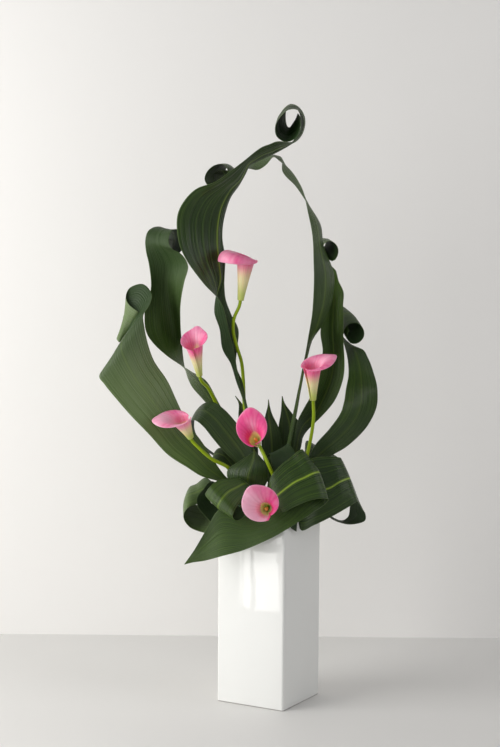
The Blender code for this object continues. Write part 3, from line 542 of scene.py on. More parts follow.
class Signal:
    """A socket of a finish. Sums, products and so on of signals become Math nodes."""

    def __init__(self, finish, socket):
        self.finish = finish
        self.socket = socket

    def other(self, output):
        """Another output of the same node."""
        return Signal(self.finish, self.socket.node.outputs[output])

    def maths(self, operation, *values):
        """A Math node of these values."""
        return self.finish.node("ShaderNodeMath", {"operation": operation}, dict(enumerate(values)))

    def __add__(self, value):
        return self.maths("ADD", self, value)

    __radd__ = __add__

    def __mul__(self, value):
        return self.maths("MULTIPLY", self, value)

    __rmul__ = __mul__

    def __sub__(self, value):
        return self.maths("SUBTRACT", self, value)

    def __rsub__(self, value):
        return self.maths("SUBTRACT", value, self)

    def __truediv__(self, value):
        return self.maths("DIVIDE", self, value)

    def __rtruediv__(self, value):
        return self.maths("DIVIDE", value, self)

    def __abs__(self):
        return self.maths("ABSOLUTE", self)

    def wave(self):
        """The sine."""
        return self.maths("SINE", self)

    def bell(self):
        """One at zero, falling away on both sides: e to the power of minus the square."""
        return self.maths("EXPONENT", self * self * -1.0)

    def between(self, low, high):
        """Nought at low, rising smoothly to one at high."""
        settings = {"interpolation_type": "SMOOTHSTEP"}
        return self.finish.node("ShaderNodeMapRange", settings, {0: self, 1: low, 2: high})


class Finish:
    """A material and the nodes that lead to its shader."""

    def __init__(self, name, colour, **sockets):
        self.material = bpy.data.materials.new(name)
        self.material.use_nodes = True
        self.material.diffuse_color = (*colour, 1.0)
        self.tree = self.material.node_tree
        self.shader = self.tree.nodes["Principled BSDF"]
        self.set(**sockets)

    def fill(self, node, inputs):
        """Give a node's sockets their values or links."""
        for key, value in inputs.items():
            if isinstance(value, Signal):
                self.tree.links.new(value.socket, node.inputs[key])
            else:
                node.inputs[key].default_value = value

    def set(self, **sockets):
        """Give the shader's sockets their values or links."""
        self.fill(self.shader, sockets)

    def node(self, kind, settings=None, inputs=None, output=0):
        """Add a node. Its settings come first, then its sockets."""
        made = self.tree.nodes.new(kind)
        for key, value in (settings or {}).items():
            setattr(made, key, value)
        self.fill(made, inputs or {})
        return Signal(self, made.outputs[output])

    def place(self):
        """Object coordinates."""
        return self.node("ShaderNodeTexCoord", output=3)

    def along(self):
        """The piece's own map: how far along in metres, and the place across from -1 to 1."""
        run = self.node("ShaderNodeUVMap", {"uv_map": "run"})
        parts = self.node("ShaderNodeSeparateXYZ", {}, {0: run})
        return parts, parts.other(1) * 2.0 - 1.0

    def attribute(self, name):
        """A number that the mesh keeps at each point."""
        return self.node("ShaderNodeAttribute", {"attribute_name": name}, output=2)

    def vector(self, x, y, z=0.0):
        """Three numbers as a vector."""
        return self.node("ShaderNodeCombineXYZ", {}, {0: x, 1: y, 2: z})

    def noise(self, vector, scale=1.0, detail=2.0, roughness=0.5):
        """Noise from nought to one."""
        return self.node("ShaderNodeTexNoise", {"noise_dimensions": "3D"},
                         {"Vector": vector, "Scale": scale, "Detail": detail,
                          "Roughness": roughness})

    def cells(self, vector, scale):
        """How far it is to the nearest of many scattered points."""
        return self.node("ShaderNodeTexVoronoi", {"feature": "F1"},
                         {"Vector": vector, "Scale": scale})

    def mix(self, share, first, second):
        """A blend of two colours."""
        first = (*first, 1.0) if isinstance(first, tuple) else first
        second = (*second, 1.0) if isinstance(second, tuple) else second
        return self.node("ShaderNodeMix", {"data_type": "RGBA", "clamp_factor": True},
                         {0: share, 6: first, 7: second}, output=2)

    def bump(self, height, distance, strength=1.0):
        """A height, in shares of a distance in metres, as a normal."""
        return self.node("ShaderNodeBump", {}, {"Height": height, "Distance": distance,
                                                "Strength": strength})


def unit(vector):
    """The vector at length one. Works on an array of vectors too."""
    vector = np.asarray(vector, float)
    return vector / np.maximum(np.linalg.norm(vector, axis=-1, keepdims=True), 1e-9)


def ease(value, low, high):
    """Nought at low, rising smoothly to one at high."""
    t = np.clip((value - low) / (high - low), 0.0, 1.0)
    return t * t * (3 - 2 * t)


def run_length(path):
    """How far along a path each of its points lies: the running sum of the gaps."""
    return np.concatenate([[0.0], np.cumsum(np.linalg.norm(np.diff(path, axis=0), axis=1))])


def smooth_curve(points, step):
    """Rows on a smooth curve: each span is the cubic whose slopes are the mean slopes at its ends.

    A gap under half a millimetre counts as that, and there are eight rows or more.
    """
    points = np.asarray(points, float)
    flat = points.reshape(len(points), -1)
    middle = points.mean(axis=1) if points.ndim == 3 else points
    gaps = np.maximum(np.linalg.norm(np.diff(middle, axis=0), axis=1), 0.5)
    place = np.concatenate([[0.0], np.cumsum(gaps)])
    slope = np.gradient(flat, place, axis=0)
    want = np.linspace(0.0, place[-1], max(8, int(place[-1] / step) + 1))
    i = np.clip(np.searchsorted(place, want, side="right") - 1, 0, len(place) - 2)
    span = (place[i + 1] - place[i])[:, None]
    t = (want - place[i])[:, None] / span
    out = ((2 * t**3 - 3 * t**2 + 1) * flat[i] + (t**3 - 2 * t**2 + t) * span * slope[i]
           + (3 * t**2 - 2 * t**3) * flat[i + 1] + (t**3 - t**2) * span * slope[i + 1])
    return out.reshape((-1,) + points.shape[1:])


def put_mesh(points, quads, caps=(), run=None, **numbers):
    """A smooth mesh from points in millimetres, with its own map and its numbers at each point."""
    mesh = bpy.data.meshes.new("surface")
    mesh.from_pydata((points * MM).tolist(), [], quads.tolist() + [list(cap) for cap in caps])
    if run is not None:
        layer = mesh.uv_layers.new(name="run")
        corner = np.empty(len(mesh.loops), np.int32)
        mesh.loops.foreach_get("vertex_index", corner)
        layer.data.foreach_set("uv", run[corner].astype(np.float32).ravel())
    for key, value in numbers.items():
        attribute = mesh.attributes.new(key, "FLOAT", "POINT")
        attribute.data.foreach_set("value", value.astype(np.float32))
    mesh.shade_smooth()
    mesh.validate()
    return mesh


def ring_quads(rings, count):
    """Quads between closed rings: place k of ring r joins place k + 1 and the ring above."""
    r, k = np.meshgrid(np.arange(rings - 1), np.arange(count), indexing="ij")
    a = r * count + k
    b = r * count + (k + 1) % count
    return np.stack([a, b, b + count, a + count], axis=-1).reshape(-1, 4)


def ring_solid(rings, run=None):
    """A closed solid through rings of points, each anticlockwise seen from the end, capped flat."""
    count = rings.shape[1]
    last = (len(rings) - 1) * count
    caps = [np.arange(count)[::-1].tolist(), (last + np.arange(count)).tolist()]
    return put_mesh(rings.reshape(-1, 3), ring_quads(len(rings), count), caps, run)


def sheet_normal(grid):
    """The cross product of the slope across and the slope along, at length one."""
    return unit(np.cross(np.gradient(grid, axis=1), np.gradient(grid, axis=0)))


def sheet_solid(grid, front, back, **numbers):
    """A closed sheet: the grid moved along its normal, by front on one side and back on the other.

    Each row becomes a ring that runs over the front and returns over the back, and a strip of
    quads closes each end. A number given as a list has an array for each side.
    """
    rows, columns = grid.shape[:2]
    normal = sheet_normal(grid)
    over = grid + normal * front[..., None]
    under = grid - normal * back[..., None]
    rings = np.concatenate([over, under[:, ::-1]], axis=1)
    count = 2 * columns
    k = np.arange(columns - 1)
    end = np.stack([k, k + 1, count - 2 - k, count - 1 - k], axis=-1)
    quads = np.concatenate([ring_quads(rows, count), end[:, ::-1], end + (rows - 1) * count])
    across = np.linspace(0.0, 1.0, columns)
    run = np.stack(np.broadcast_arrays(run_length(grid.mean(axis=1))[:, None] * MM,
                                       np.concatenate([across, across[::-1]])[None, :]), axis=-1)
    side = np.concatenate([np.zeros(columns), np.ones(columns)])
    marks = {"reverse": np.broadcast_to(side, (rows, count)).ravel()}
    for key, value in numbers.items():
        first, second = value if isinstance(value, list) else (value, value)
        marks[key] = np.concatenate([first, second[:, ::-1]], axis=1).ravel()
    return put_mesh(rings.reshape(-1, 3), quads, run=run.reshape(-1, 2), **marks)


def tube_rings(path, radius, sides):
    """Rings square to a path: centre + (first × cos + second × sin) × radius."""
    tangent = unit(np.gradient(path, axis=0))
    first = unit(np.array([1.0, 0.0, 0.0]) - tangent * tangent[:, :1])
    second = np.cross(tangent, first)
    angle = np.linspace(0.0, 2 * pi, sides, endpoint=False)
    ring = first[:, None] * np.cos(angle)[:, None] + second[:, None] * np.sin(angle)[:, None]
    return path[:, None] + ring * np.asarray(radius)[:, None, None]


def rounded_square(half, corner, z, steps=6):
    """A square with round corners: corner's centre + radius × (cos, sin), turned as the vase."""
    quarter = np.repeat(np.arange(4), steps + 1)
    angle = (quarter + np.tile(np.linspace(0.0, 1.0, steps + 1), 4)) * pi / 2
    centre = quarter * pi / 2 + pi / 4
    side = (half - corner) * 2**0.5
    x = side * np.cos(centre) + corner * np.cos(angle)
    y = side * np.sin(centre) + corner * np.sin(angle)
    turned_x = x * cos(VASE_TURN) - y * sin(VASE_TURN)
    turned_y = x * sin(VASE_TURN) + y * cos(VASE_TURN)
    return np.stack([turned_x, turned_y, np.full_like(x, z)], axis=-1)


def vase_mesh(radius):
    """The vase: rounded squares stacked along a profile, up the outside and down the inside.

    The profile is a half width and a height. The foot and the lip's edges are quarter circles.
    """
    outer = VASE_SIDE / 2
    inner = outer - VASE_WALL
    turn = np.linspace(0.0, pi / 2, 6)
    half = np.concatenate([
        [outer - FOOT_WIDTH - FOOT_SLOPE, outer - FOOT_WIDTH],
        outer - radius + radius * np.sin(turn), outer - radius + radius * np.cos(turn),
        inner + radius - radius * np.sin(turn), [inner]])
    height = np.concatenate([
        [FOOT_RECESS, 0.0],
        radius - radius * np.cos(turn), VASE_HEIGHT - radius + radius * np.sin(turn),
        VASE_HEIGHT - radius + radius * np.cos(turn), [VASE_FLOOR]])
    corner = np.maximum(VASE_CORNER - (outer - half), INNER_CORNER)
    corner = np.where(half > inner + radius, corner, INNER_CORNER)
    return ring_solid(np.array([rounded_square(*ring) for ring in zip(half, corner, height)]))


def leaf_rails(plan):
    """A leaf's rows of left edge, midrib and right edge, with its stalk and its point."""
    rails = [np.array([row[0], row[1] if len(row) == 3 else np.mean(row, axis=0), row[-1]], float)
             for row in plan["rows"]]
    across = rails[0][2] - rails[0][0]
    across[2] = 0.0
    across = unit(across) * STALK_WIDTH / 2
    foot = np.array([*plan["slot"], STAND_HEIGHT])
    rise = np.array([*plan["slot"], FOAM_TOP + STRAIGHT_ABOVE])
    stalk = [np.array([c - across, c, c + across])
             for c in [foot, rise, *np.array(plan["stalk"], float)]]
    rows = stalk + rails
    if "tip" in plan:
        tip = np.array(plan["tip"], float)
        point = unit(rails[-1][2] - rails[-1][0]) * TIP_WIDTH / 2
        rows.append(np.array([tip - point, tip, tip + point]))
    return np.array(rows), len(stalk)


def pleat_fold(v, s, phase):
    """How far a blade folds at v across and s along: two cosines of v less the size of a sine.

    The cosines are the broad pleats, the sine's sharp turns the creases, and both drift along s.
    """
    warp = v + 0.06 * np.sin(5 * v + phase) + 0.01 * np.sin(s / 40 + phase)
    fold = np.cos(2 * pi * PLEATS * warp) + 0.6 * np.cos(2 * pi * 0.37 * PLEATS * v + phase)
    return fold + 0.8 - 1.6 * abs(np.sin(pi * 1.9 * PLEATS * warp + s / 400))


def leaf_mesh(plan, looks, settings, phase):
    """A leaf's blade and stalk as one closed sheet.

    Across a row the sheet is midrib + v × half width + g × rise, where v runs from -1 to 1 and g
    is the mean of a softened |v| and v squared. The pleats move it along its normal, and so does a
    sine of the length, which waves the edges. The stalk is an oval, and a round rib runs down the
    back.
    """
    pleats, rib, tone, back_painted_shade, end_painted_shade, front_painted_shade = looks
    rows, stalk_count = leaf_rails(plan)
    middles = rows[1:].mean(axis=1)
    stalk_length = np.linalg.norm(np.diff(middles, axis=0), axis=1)[:stalk_count - 2].sum()
    upper = smooth_curve(rows[1:], settings.step / MM)
    lower = rows[0] + np.linspace(0.0, 1.0, STALK_ROWS)[:-1, None, None] * (rows[1] - rows[0])
    rows = np.concatenate([lower, upper])
    left, mid, right = rows[:, 0], rows[:, 1], rows[:, 2]
    width = np.linalg.norm(right - left, axis=1)[:, None]
    bend = unit(np.cross(right - left, np.gradient(rows.mean(axis=1), axis=0)))
    sunk = mid + bend * MIDRIB_DEPTH * width
    v = np.linspace(-1.0, 1.0, COLUMNS)
    soft = (np.sqrt(v**2 + 0.01) - 0.1) / (1.01**0.5 - 0.1)
    g = 0.5 * soft + 0.5 * v**2
    grid = (sunk[:, None] + v[:, None] * (right - left)[:, None] / 2
            + g[:, None] * ((left + right) / 2 - sunk)[:, None])

    s = run_length(rows.mean(axis=1))[:, None]
    stalk_end = s[len(lower)] + stalk_length
    blade = ease(s, stalk_end, stalk_end + BLADE_START)
    inside = blade * (1 - ease(s, s[-1] - BLADE_END, s[-1]))
    fold = pleat_fold(v, s, phase)
    depth = settings.pleat_depth * pleats * width * (0.75 + 0.25 * np.sin(s / 45 + phase))
    waves = settings.wave_depth / MM * abs(v)**3 * np.sin(2 * pi * s / WAVE_LENGTH + phase + 2 * v)
    offset = fold * depth * (1 - v**6) + waves
    grid = grid + sheet_normal(grid) * (offset * inside)[..., None]

    oval = STALK_THICKNESS / 2 * np.sqrt(1 - 0.98 * v**2)
    thin = BLADE_THICKNESS / 2 * (1 - 0.55 * v**8)
    away = v * width / 2
    ridge = RIB_HEIGHT * np.exp(-(away / RIB_HALF_WIDTH)**2)
    front = oval * (1 - blade) + (thin - RIB_SINK * ridge * inside) * blade
    back = oval * (1 - blade) + (thin + ridge * inside) * blade

    # Painted shade: the second side darkens along the blade and more at the rolled end, and the
    # first side at the rolled end, where shade falls under the blades and inside the rolls
    end = ease(s / s[-1], ROLL_START, ROLL_END)
    dark = [np.broadcast_to(blade * share, away.shape)
            for share in (front_painted_shade * end, back_painted_shade + (end_painted_shade - back_painted_shade) * end)]
    # Painted shade in the creases, and painted light in the tone: darker near the stalk, lighter
    # towards the tip
    crease = CREASE_SHADE * pleats * np.clip(-0.6 - fold, 0.0, 1.2) * inside
    tone = tone * (0.2 + 1.6 * s / s[-1]) - crease
    return sheet_solid(grid, front, back, away=away, rib=np.full_like(away, rib) * blade,
                       tone=tone, blade=np.broadcast_to(blade, away.shape), dark=dark)


def bloom_frame(plan):
    """The bloom's base point, its axis, its back direction and its side direction."""
    axis = unit(plan["axis"])
    back = np.array(plan["back"], float)
    back = unit(back - axis * back.dot(axis))
    return np.array(plan["base"], float), axis, back, np.cross(axis, back)


def spathe_grid(plan, u, v):
    """The petal's sheet: base + axis × height + (back × cos + side × sin) × radius.

    The radius grows as a power of the height up to the throat, and the two edges overlap in front.
    Past it the limb is an arc that bends out and over, longest at the back, where it ends in a
    point.
    """
    base, axis, back, side = bloom_frame(plan)
    foot = STEM_TOP_RADIUS + CLEARANCE + SPATHE_THICKNESS / 2 + SPATHE_OVERLAP + SPATHE_EASE
    tube = np.minimum(u / THROAT, 1.0)
    past = np.maximum(0.0, (u - THROAT) / (1 - THROAT))
    angle = v * (pi + FOOT_LAP * (1 - tube) - LIP_GAP * past)
    behind = (1 + np.cos(angle)) / 2
    curl = plan["curl"] + plan["roll"] * np.sin(angle)**2
    reach = plan["lip"] + (plan["limb"] - plan["lip"]) * behind**plan["narrow"]
    reach = reach + SPATHE_TIP * np.exp(-(angle / POINT_ANGLE)**2)
    bend = THROAT_SLOPE + curl * past
    lap = v * (SPATHE_OVERLAP + SPATHE_SPREAD * u)
    radius = foot + (plan["throat"] - foot) * tube**TUBE_FLARE + lap
    radius = radius + reach / curl * (cos(THROAT_SLOPE) - np.cos(bend))
    height = plan["length"] * tube + reach / curl * (np.sin(bend) - sin(THROAT_SLOPE))
    return (base + axis * height[..., None]
            + (back * np.cos(angle)[..., None] + side * np.sin(angle)[..., None])
            * radius[..., None])


def spathe_mesh(plan):
    """The petal, rolled round with its edges overlapping, thinner at the rim.

    It keeps how pale it is at each point, with more on the half where v is above nought.
    """
    u = np.linspace(0.0, 1.0, SPATHE_ROWS)[:, None]
    v = np.linspace(-1.0, 1.0, SPATHE_COLUMNS)[None, :]
    u, v = np.broadcast_arrays(u, v)
    half = SPATHE_THICKNESS / 2 * (1 - 0.5 * u**6)
    pale, side = plan["pale"]
    pale = pale + side * ease(v, -0.1, 0.4) * (1 - ease(v, 0.8, 1.0))
    return sheet_solid(spathe_grid(plan, u, v), half, half, share=u, pale=pale)


def spadix_mesh(plan, bead):
    """The rod: rings along the axis whose radius follows a rounded profile, with rows of beads.

    A bead is the product of a sine round the rod and a sine along it, so the rows are staggered.
    """
    base, axis, back, side = bloom_frame(plan)
    start = STEM_INSIDE + CLEARANCE
    length = min(SPADIX_LENGTH, plan["length"] * SPADIX_SHARE)
    share = np.linspace(0.0, 1.0, SPADIX_RINGS)[:, None]
    angle = np.linspace(0.0, 2 * pi, SPADIX_SIDES, endpoint=False)[None, :]
    radius = SPADIX_RADIUS * np.interp(share, *SPADIX_PROFILE)
    beads = np.sin(BEADS_ROUND * angle) * np.sin(share * length * BEADS_ALONG)
    beads = beads * np.minimum(1.0, radius / 2)
    radius = radius + bead * (beads - 1) * 0.5
    ring = back * np.cos(angle)[..., None] + side * np.sin(angle)[..., None]
    return ring_solid(base + axis * (start + length * share)[..., None] + ring * radius[..., None])


def stem_mesh(plan):
    """The stem: a tube along the smooth path from its hole in the foam into the bloom's foot."""
    base, axis = bloom_frame(plan)[:2]
    slot = plan["slot"]
    route = [(*slot, FOAM_TOP + STRAIGHT_ABOVE), *plan["stem"], base - axis * STEM_BELOW,
             base + axis * STEM_INSIDE]
    foot = np.array([(*slot, STAND_HEIGHT), (*slot, (STAND_HEIGHT + FOAM_TOP) / 2)])
    path = np.concatenate([foot, smooth_curve(route, STEM_STEP)])
    radius = np.linspace(STEM_RADIUS, STEM_TOP_RADIUS, len(path))
    around = np.linspace(0.0, 1.0, STEM_SIDES)
    run = np.stack(np.broadcast_arrays(run_length(path)[:, None] * MM, around[None, :]), axis=-1)
    return ring_solid(tube_rings(path, radius, STEM_SIDES), run.reshape(-1, 2))


def scaled(colour, share):
    """A colour, darker or lighter by a share."""
    return tuple(part * share for part in colour)


def glaze_finish(colour):
    """Glaze: glossy white over slightly uneven clay, bare and matt under the foot."""
    f = Finish("glaze", colour, IOR=1.5)
    place = f.place()
    height = f.node("ShaderNodeSeparateXYZ", {}, {0: place}, output=2)
    bare = 1.0 - height.between(0.0006, 0.0014)
    cloud = f.noise(place, 9.0, detail=3.0)
    white = f.mix(cloud * 0.5, colour, scaled(colour, 0.95))
    uneven = f.noise(place, 16.0, detail=1.0) + f.noise(place, 70.0) * 0.12
    f.set(**{"Base Color": f.mix(bare, white, BARE_CLAY),
             "Roughness": 0.03 + cloud * 0.04 + bare * 0.6,
             "Normal": f.bump(uneven, 0.0014, 0.35)})
    return f


def foam_finish(colour):
    """Soaked foam: dark green, full of fine pits."""
    f = Finish("foam", colour)
    place = f.place()
    pits = f.cells(place, 900.0)
    patch = f.noise(place, 60.0, detail=4.0)
    f.set(**{"Base Color": f.mix(patch * 0.7 + pits * 0.5, scaled(colour, 0.55), colour),
             "Roughness": 0.75 + patch * 0.2, "Normal": f.bump(pits, 0.0005, 0.8)})
    return f


def leaf_finish(settings):
    """Leaf: veins run along the blade, with finer lines and darker and lighter streaks between.

    A light leaf gets a greyer green, partly a film of wax and partly a painted sheen. Each side
    takes the dark colour of painted shade by its share of it, and the midrib, the rim and the stalk
    have colours of their own.
    """
    dark, light = tuple(settings.dark_colour), tuple(settings.light_colour)
    f = Finish("leaf", tuple((a + b) / 2 for a, b in zip(dark, light)), IOR=1.4)
    along, v = f.along()
    reverse, blade, tone, shade_share = map(f.attribute, ("reverse", "blade", "tone", "dark"))
    drift = f.noise(f.vector(along * 9.0, v * 3.0))
    streak = f.noise(f.vector(along * 3.0, v * 28.0), detail=4.0, roughness=0.65)
    broad = f.noise(f.place(), 11.0)
    uneven = f.noise(f.vector(along * 5.0, v * 7.0, 3.0), detail=1.0).between(0.30, 0.70)
    veins = (v * 74.0 + drift * 2.5).wave() * uneven
    fine = (v * 190.0 + drift * 5.0).wave()
    # The tone brings painted light and painted shade into the mix of the two greens
    shade = (streak - 0.5) * 1.9 + (broad - 0.5) * 0.8 + veins * 0.20 + fine * 0.12 + tone
    green = f.mix(shade, dark, light)
    # Painted sheen: the lighter leaves turn grey green in streaks, partly a film of wax
    wax_and_sheen = 0.2 + broad * 0.6 + (streak - 0.5) * 1.4 + veins * 0.15 + fine * 0.10
    green = f.mix(tone.between(0.4, 1.0) * wax_and_sheen, green, LEAF_WAX_AND_SHEEN)
    # Painted shade: each side takes the dark back colour by its share of shade
    green = f.mix(shade_share, green, tuple(settings.shaded_back_colour))
    rib = (f.attribute("away") / 1.5).bell() * f.attribute("rib") * (1.0 - reverse)
    green = f.mix(rib, green, tuple(settings.rib_colour))
    rim = abs(v).between(0.965, 1.0) * blade
    green = f.mix(rim * 0.35, green, LEAF_RIM)
    green = f.mix((1.0 - blade) * 0.7, green, LEAF_STALK)
    height = veins * 0.5 + fine * 0.18 + streak * 0.6 + rib * 0.8
    rough = 0.23 + streak * 0.14 + veins * 0.03 + reverse * 0.12 + shade_share * 0.18
    f.set(**{"Base Color": green, "Roughness": rough, "Normal": f.bump(height, 0.00045, 0.8)})
    return f


def spathe_finish(settings):
    """Petal: yellow green at the foot, cream at the throat, pink limb with fine pale streaks.

    The inside has a pale line up its middle and a bright yellow green heart.
    """
    pink, pale = tuple(settings.pink_colour), tuple(settings.pale_colour)
    f = Finish("spathe", pink, **{"Subsurface Weight": 0.30, "Subsurface Scale": 1.0,
                                  "Subsurface Radius": (0.004, 0.0015, 0.0015)})
    v = f.along()[1]
    share = f.attribute("share")
    inner = f.attribute("reverse")
    streak = f.noise(f.vector(share * 2.5, v * 11.0), detail=3.0, roughness=0.6)
    patch = f.noise(f.place(), 45.0)
    veins = (v * 70.0 + streak * 3.0).wave()
    middle = (v / 0.17).bell() * (1.4 - share)
    pale_share = f.attribute("pale") + middle * inner
    pinks = f.mix((streak - 0.5) * 0.9 + (patch - 0.5) * 0.9 + pale_share + veins * 0.04,
                  pink, pale)
    rise = share + (streak - 0.5) * 0.12
    tube = f.mix(rise.between(0.03, 0.32), tuple(settings.foot_colour),
                 tuple(settings.throat_colour))
    colour = f.mix((rise + inner * 0.10).between(0.30, 0.58), tube, pinks)
    heart = 1.0 - (share - middle * 0.16).between(0.32, 0.50)
    colour = f.mix(inner * heart * 0.9, colour, PETAL_HEART)
    colour = f.mix(share.between(0.965, 1.0) * 0.35, colour, PETAL_RIM)
    f.set(**{"Base Color": colour, "Roughness": 0.40 + patch * 0.12,
             "Normal": f.bump(veins * 0.3 + streak, 0.0005, 0.7)})
    return f


def spadix_finish(colour):
    """Spadix: orange beads, paler with pollen on top, with painted shade between the grains."""
    f = Finish("spadix", colour)
    place = f.place()
    grain = f.cells(place, 1100.0)
    dust = f.noise(place, 500.0)
    bright = tuple(min(1.0, part * 1.15 + 0.05) for part in colour)
    # Painted shade: the colour darkens away from the middle of each grain
    f.set(**{"Base Color": f.mix(grain * 0.8 + dust * 0.4, bright, scaled(colour, 0.72)),
             "Roughness": 0.7 + dust * 0.2, "Normal": f.bump(grain, 0.0003, 0.6)})
    return f


def stem_finish(colour):
    """Stem: smooth yellow green with faint lengthwise streaks, darker towards the vase."""
    f = Finish("stem", colour, IOR=1.35)
    along, v = f.along()
    streak = f.noise(f.vector(along * 6.0, v * 9.0), detail=3.0)
    low = 1.0 - along.between(0.04, 0.16)
    green = f.mix((streak - 0.35) * 1.2, scaled(colour, 0.72), scaled(colour, 1.25))
    f.set(**{"Base Color": f.mix(low * 0.6, green, scaled(colour, 0.45)),
             "Roughness": 0.32 + streak * 0.14, "Normal": f.bump(streak, 0.0004, 0.5)})
    return f


def stage_finish(name, colour):
    """Plain pale paint, very faintly uneven. It has one side, so it hides nothing from behind."""
    f = Finish(name, colour)
    cloud = f.noise(f.place(), 1.4)
    f.set(**{"Base Color": f.mix(cloud, colour, scaled(colour, 0.97)),
             "Roughness": 0.50 + cloud * 0.1,
             "Alpha": 1.0 - f.node("ShaderNodeNewGeometry", output="Backfacing")})
    return f


def add_object(name, data):
    """Put an object in the scene."""
    made = bpy.data.objects.new(name, data)
    bpy.context.scene.collection.objects.link(made)
    return made


def add_piece(name, mesh, finish, node):
    """Put a finished mesh in the scene for a node of the frame."""
    mesh.name = name
    mesh.materials.append(finish.material)
    piece = add_object(name, mesh)
    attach(piece, "root")
    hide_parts(node)


def add_sheet(name, low, high, colour):
    """A flat sheet of the stage from one long edge to the other, each given by its Y and Z."""
    points = [(side * STAGE_HALF, *edge) for edge in (low, high) for side in (1, -1)]
    mesh = put_mesh(np.array(points) / MM, np.array([[2, 3, 1, 0]]))
    mesh.name = name
    mesh.materials.append(stage_finish(name, tuple(colour)).material)
    add_object(name, mesh)


def add_light(name, place, target, size, colour, power, spread=pi):
    """A soft rectangular light that faces the target, its rays spread over an angle."""
    light = bpy.data.lights.new(name, "AREA")
    light.shape = "RECTANGLE"
    light.size, light.size_y = size
    light.energy = power
    light.color = colour
    light.spread = spread
    back = unit(np.array(place, float) - np.array(target, float))
    side = unit(np.cross((0.0, 0.0, 1.0), back))
    aim = Matrix(np.stack([side, np.cross(back, side), back], axis=1).tolist())
    lamp = add_object(name, light)
    lamp.location = place
    lamp.rotation_euler = aim.to_euler()


def view_matrix():
    """The camera's place and turn: its columns are right, up and back along the line of sight."""
    yaw, pitch, roll = CAMERA_YAW, CAMERA_PITCH, CAMERA_ROLL
    ahead = np.array([sin(yaw) * cos(pitch), cos(yaw) * cos(pitch), -sin(pitch)])
    level = np.array([cos(yaw), -sin(yaw), 0.0])
    down = np.cross(ahead, level)
    right = level * cos(roll) + down * sin(roll)
    down = -level * sin(roll) + down * cos(roll)
    rows = np.eye(4)
    rows[:3, :3] = np.stack([right, -down, -ahead], axis=1)
    rows[:3, 3] = CAMERA_PLACE
    return Matrix(rows.tolist())


class IKEBANA_OT_vase(bpy.types.Operator):
    """Build the glazed vase"""

    bl_idname = "ikebana.vase"
    bl_label = "Vase"

    def execute(self, context):
        settings = context.scene.ikebana_vase
        mesh = vase_mesh(settings.edge_radius / MM)
        mesh.set_sharp_from_angle(angle=SHARP_ANGLE)
        finish = glaze_finish(tuple(settings.glaze_colour))
        add_piece("vase_glazed", mesh, finish, "vase")
        return {"FINISHED"}


class IKEBANA_OT_foam(bpy.types.Operator):
    """Give the soaked foam its pitted finish"""

    bl_idname = "ikebana.foam"
    bl_label = "Foam"

    def execute(self, context):
        finish = foam_finish(tuple(context.scene.ikebana_vase.foam_colour))
        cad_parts["foam"].material_slots[0].material = finish.material
        return {"FINISHED"}


class IKEBANA_OT_leaves(bpy.types.Operator):
    """Build every leaf with its stalk"""

    bl_idname = "ikebana.leaves"
    bl_label = "Leaves"

    def execute(self, context):
        settings = context.scene.ikebana_leaves
        finish = leaf_finish(settings)
        for index, (name, plan) in enumerate(LEAVES.items()):
            looks = LEAF_LOOKS.get(name, PLAIN_LOOKS)
            mesh = leaf_mesh(plan, looks, settings, index * LEAF_PHASE)
            add_piece(name + "_blade", mesh, finish, name)
        return {"FINISHED"}


class IKEBANA_OT_stems(bpy.types.Operator):
    """Build the stems of the calla lilies"""

    bl_idname = "ikebana.stems"
    bl_label = "Stems"

    def execute(self, context):
        finish = stem_finish(tuple(context.scene.ikebana_callas.stem_colour))
        for name, plan in CALLAS.items():
            add_piece(name + "_tube", stem_mesh(plan), finish, name + "_stem")
        return {"FINISHED"}


class IKEBANA_OT_petals(bpy.types.Operator):
    """Build the rolled petal of each calla lily"""

    bl_idname = "ikebana.petals"
    bl_label = "Petals"

    def execute(self, context):
        finish = spathe_finish(context.scene.ikebana_callas)
        for name, plan in CALLAS.items():
            add_piece(name + "_petal", spathe_mesh(plan), finish, name + "_spathe")
        return {"FINISHED"}


class IKEBANA_OT_spadices(bpy.types.Operator):
    """Build the beaded rod inside each calla lily"""

    bl_idname = "ikebana.spadices"
    bl_label = "Spadices"

    def execute(self, context):
        settings = context.scene.ikebana_callas
        finish = spadix_finish(tuple(settings.spadix_colour))
        for name, plan in CALLAS.items():
            mesh = spadix_mesh(plan, settings.bead_height / MM)
            add_piece(name + "_rod", mesh, finish, name + "_spadix")
        return {"FINISHED"}


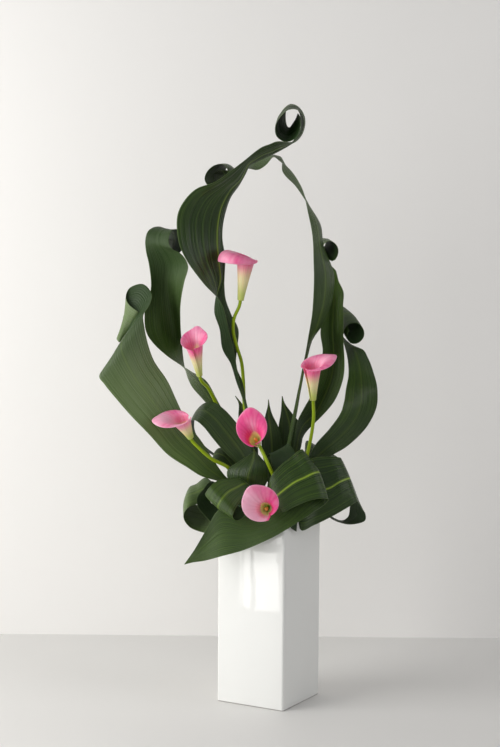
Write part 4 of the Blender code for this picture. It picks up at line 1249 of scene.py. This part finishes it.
class IKEBANA_OT_stage(bpy.types.Operator):
    """Set up the floor, the wall, the soft light and the camera"""

    bl_idname = "ikebana.stage"
    bl_label = "Stage"

    def execute(self, context):
        scene = context.scene
        settings = scene.ikebana_stage
        back = settings.wall_distance
        add_sheet("stage_floor", (-STAGE_HALF, 0.0), (STAGE_HALF, 0.0), settings.floor_colour)
        add_sheet("stage_wall", (back, 0.0), (back, WALL_HEIGHT), settings.wall_colour)
        for light in LIGHTS:
            add_light(*light, getattr(settings, light[0] + "_power"))
        for index, (x, y, width) in enumerate(STRIPS):
            target = (x + STRIP_AHEAD[0], y + STRIP_AHEAD[1], STRIP_LEVEL)
            add_light(f"strip_{index + 1}", (x, y, STRIP_LEVEL), target, (width, STRIP_HEIGHT),
                      STRIP_COLOUR, settings.strip_power * width, STRIP_SPREAD)
        scene.world = bpy.data.worlds.new("soft_room")
        scene.world.use_nodes = True
        room = scene.world.node_tree.nodes["Background"]
        room.inputs["Color"].default_value = ROOM_COLOUR
        room.inputs["Strength"].default_value = settings.sky_strength
        scene.view_settings.view_transform = "Standard"
        scene.camera = add_object("camera", bpy.data.cameras.new("camera"))
        scene.camera.data.lens = CAMERA_LENS
        scene.camera.data.sensor_width = CAMERA_SENSOR
        scene.camera.data.clip_end = CAMERA_REACH
        scene.camera.matrix_world = view_matrix()
        return {"FINISHED"}


SETTINGS = {"ikebana_vase": VaseSettings, "ikebana_leaves": LeafSettings,
            "ikebana_callas": CallaSettings, "ikebana_stage": StageSettings}
OPERATORS = (IKEBANA_OT_vase, IKEBANA_OT_foam, IKEBANA_OT_leaves, IKEBANA_OT_stems,
             IKEBANA_OT_petals, IKEBANA_OT_spadices, IKEBANA_OT_stage)


class IKEBANA_PT_sidebar(bpy.types.Panel):
    """The arrangement's buttons and settings."""

    bl_label = "Ikebana arrangement"
    bl_space_type = "VIEW_3D"
    bl_region_type = "UI"
    bl_category = "Ikebana"

    def draw(self, context):
        for operator in OPERATORS:
            self.layout.operator(operator.bl_idname)
        for group in SETTINGS:
            settings = getattr(context.scene, group)
            box = self.layout.box()
            for name in settings.__annotations__:
                box.prop(settings, name)


def register():
    """Make the settings, the operators and the panel known."""
    for name, group in SETTINGS.items():
        bpy.utils.register_class(group)
        setattr(bpy.types.Scene, name, PointerProperty(type=group))
    for cls in (*OPERATORS, IKEBANA_PT_sidebar):
        bpy.utils.register_class(cls)


def unregister():
    """Take them away again."""
    for cls in (IKEBANA_PT_sidebar, *reversed(OPERATORS)):
        bpy.utils.unregister_class(cls)
    for name, group in SETTINGS.items():
        delattr(bpy.types.Scene, name)
        bpy.utils.unregister_class(group)


def main():
    """Build everything."""
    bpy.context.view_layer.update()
    register()
    for operator in OPERATORS:
        group, name = operator.bl_idname.split(".")
        getattr(getattr(bpy.ops, group), name)()


if __name__ == "__main__":
    main()
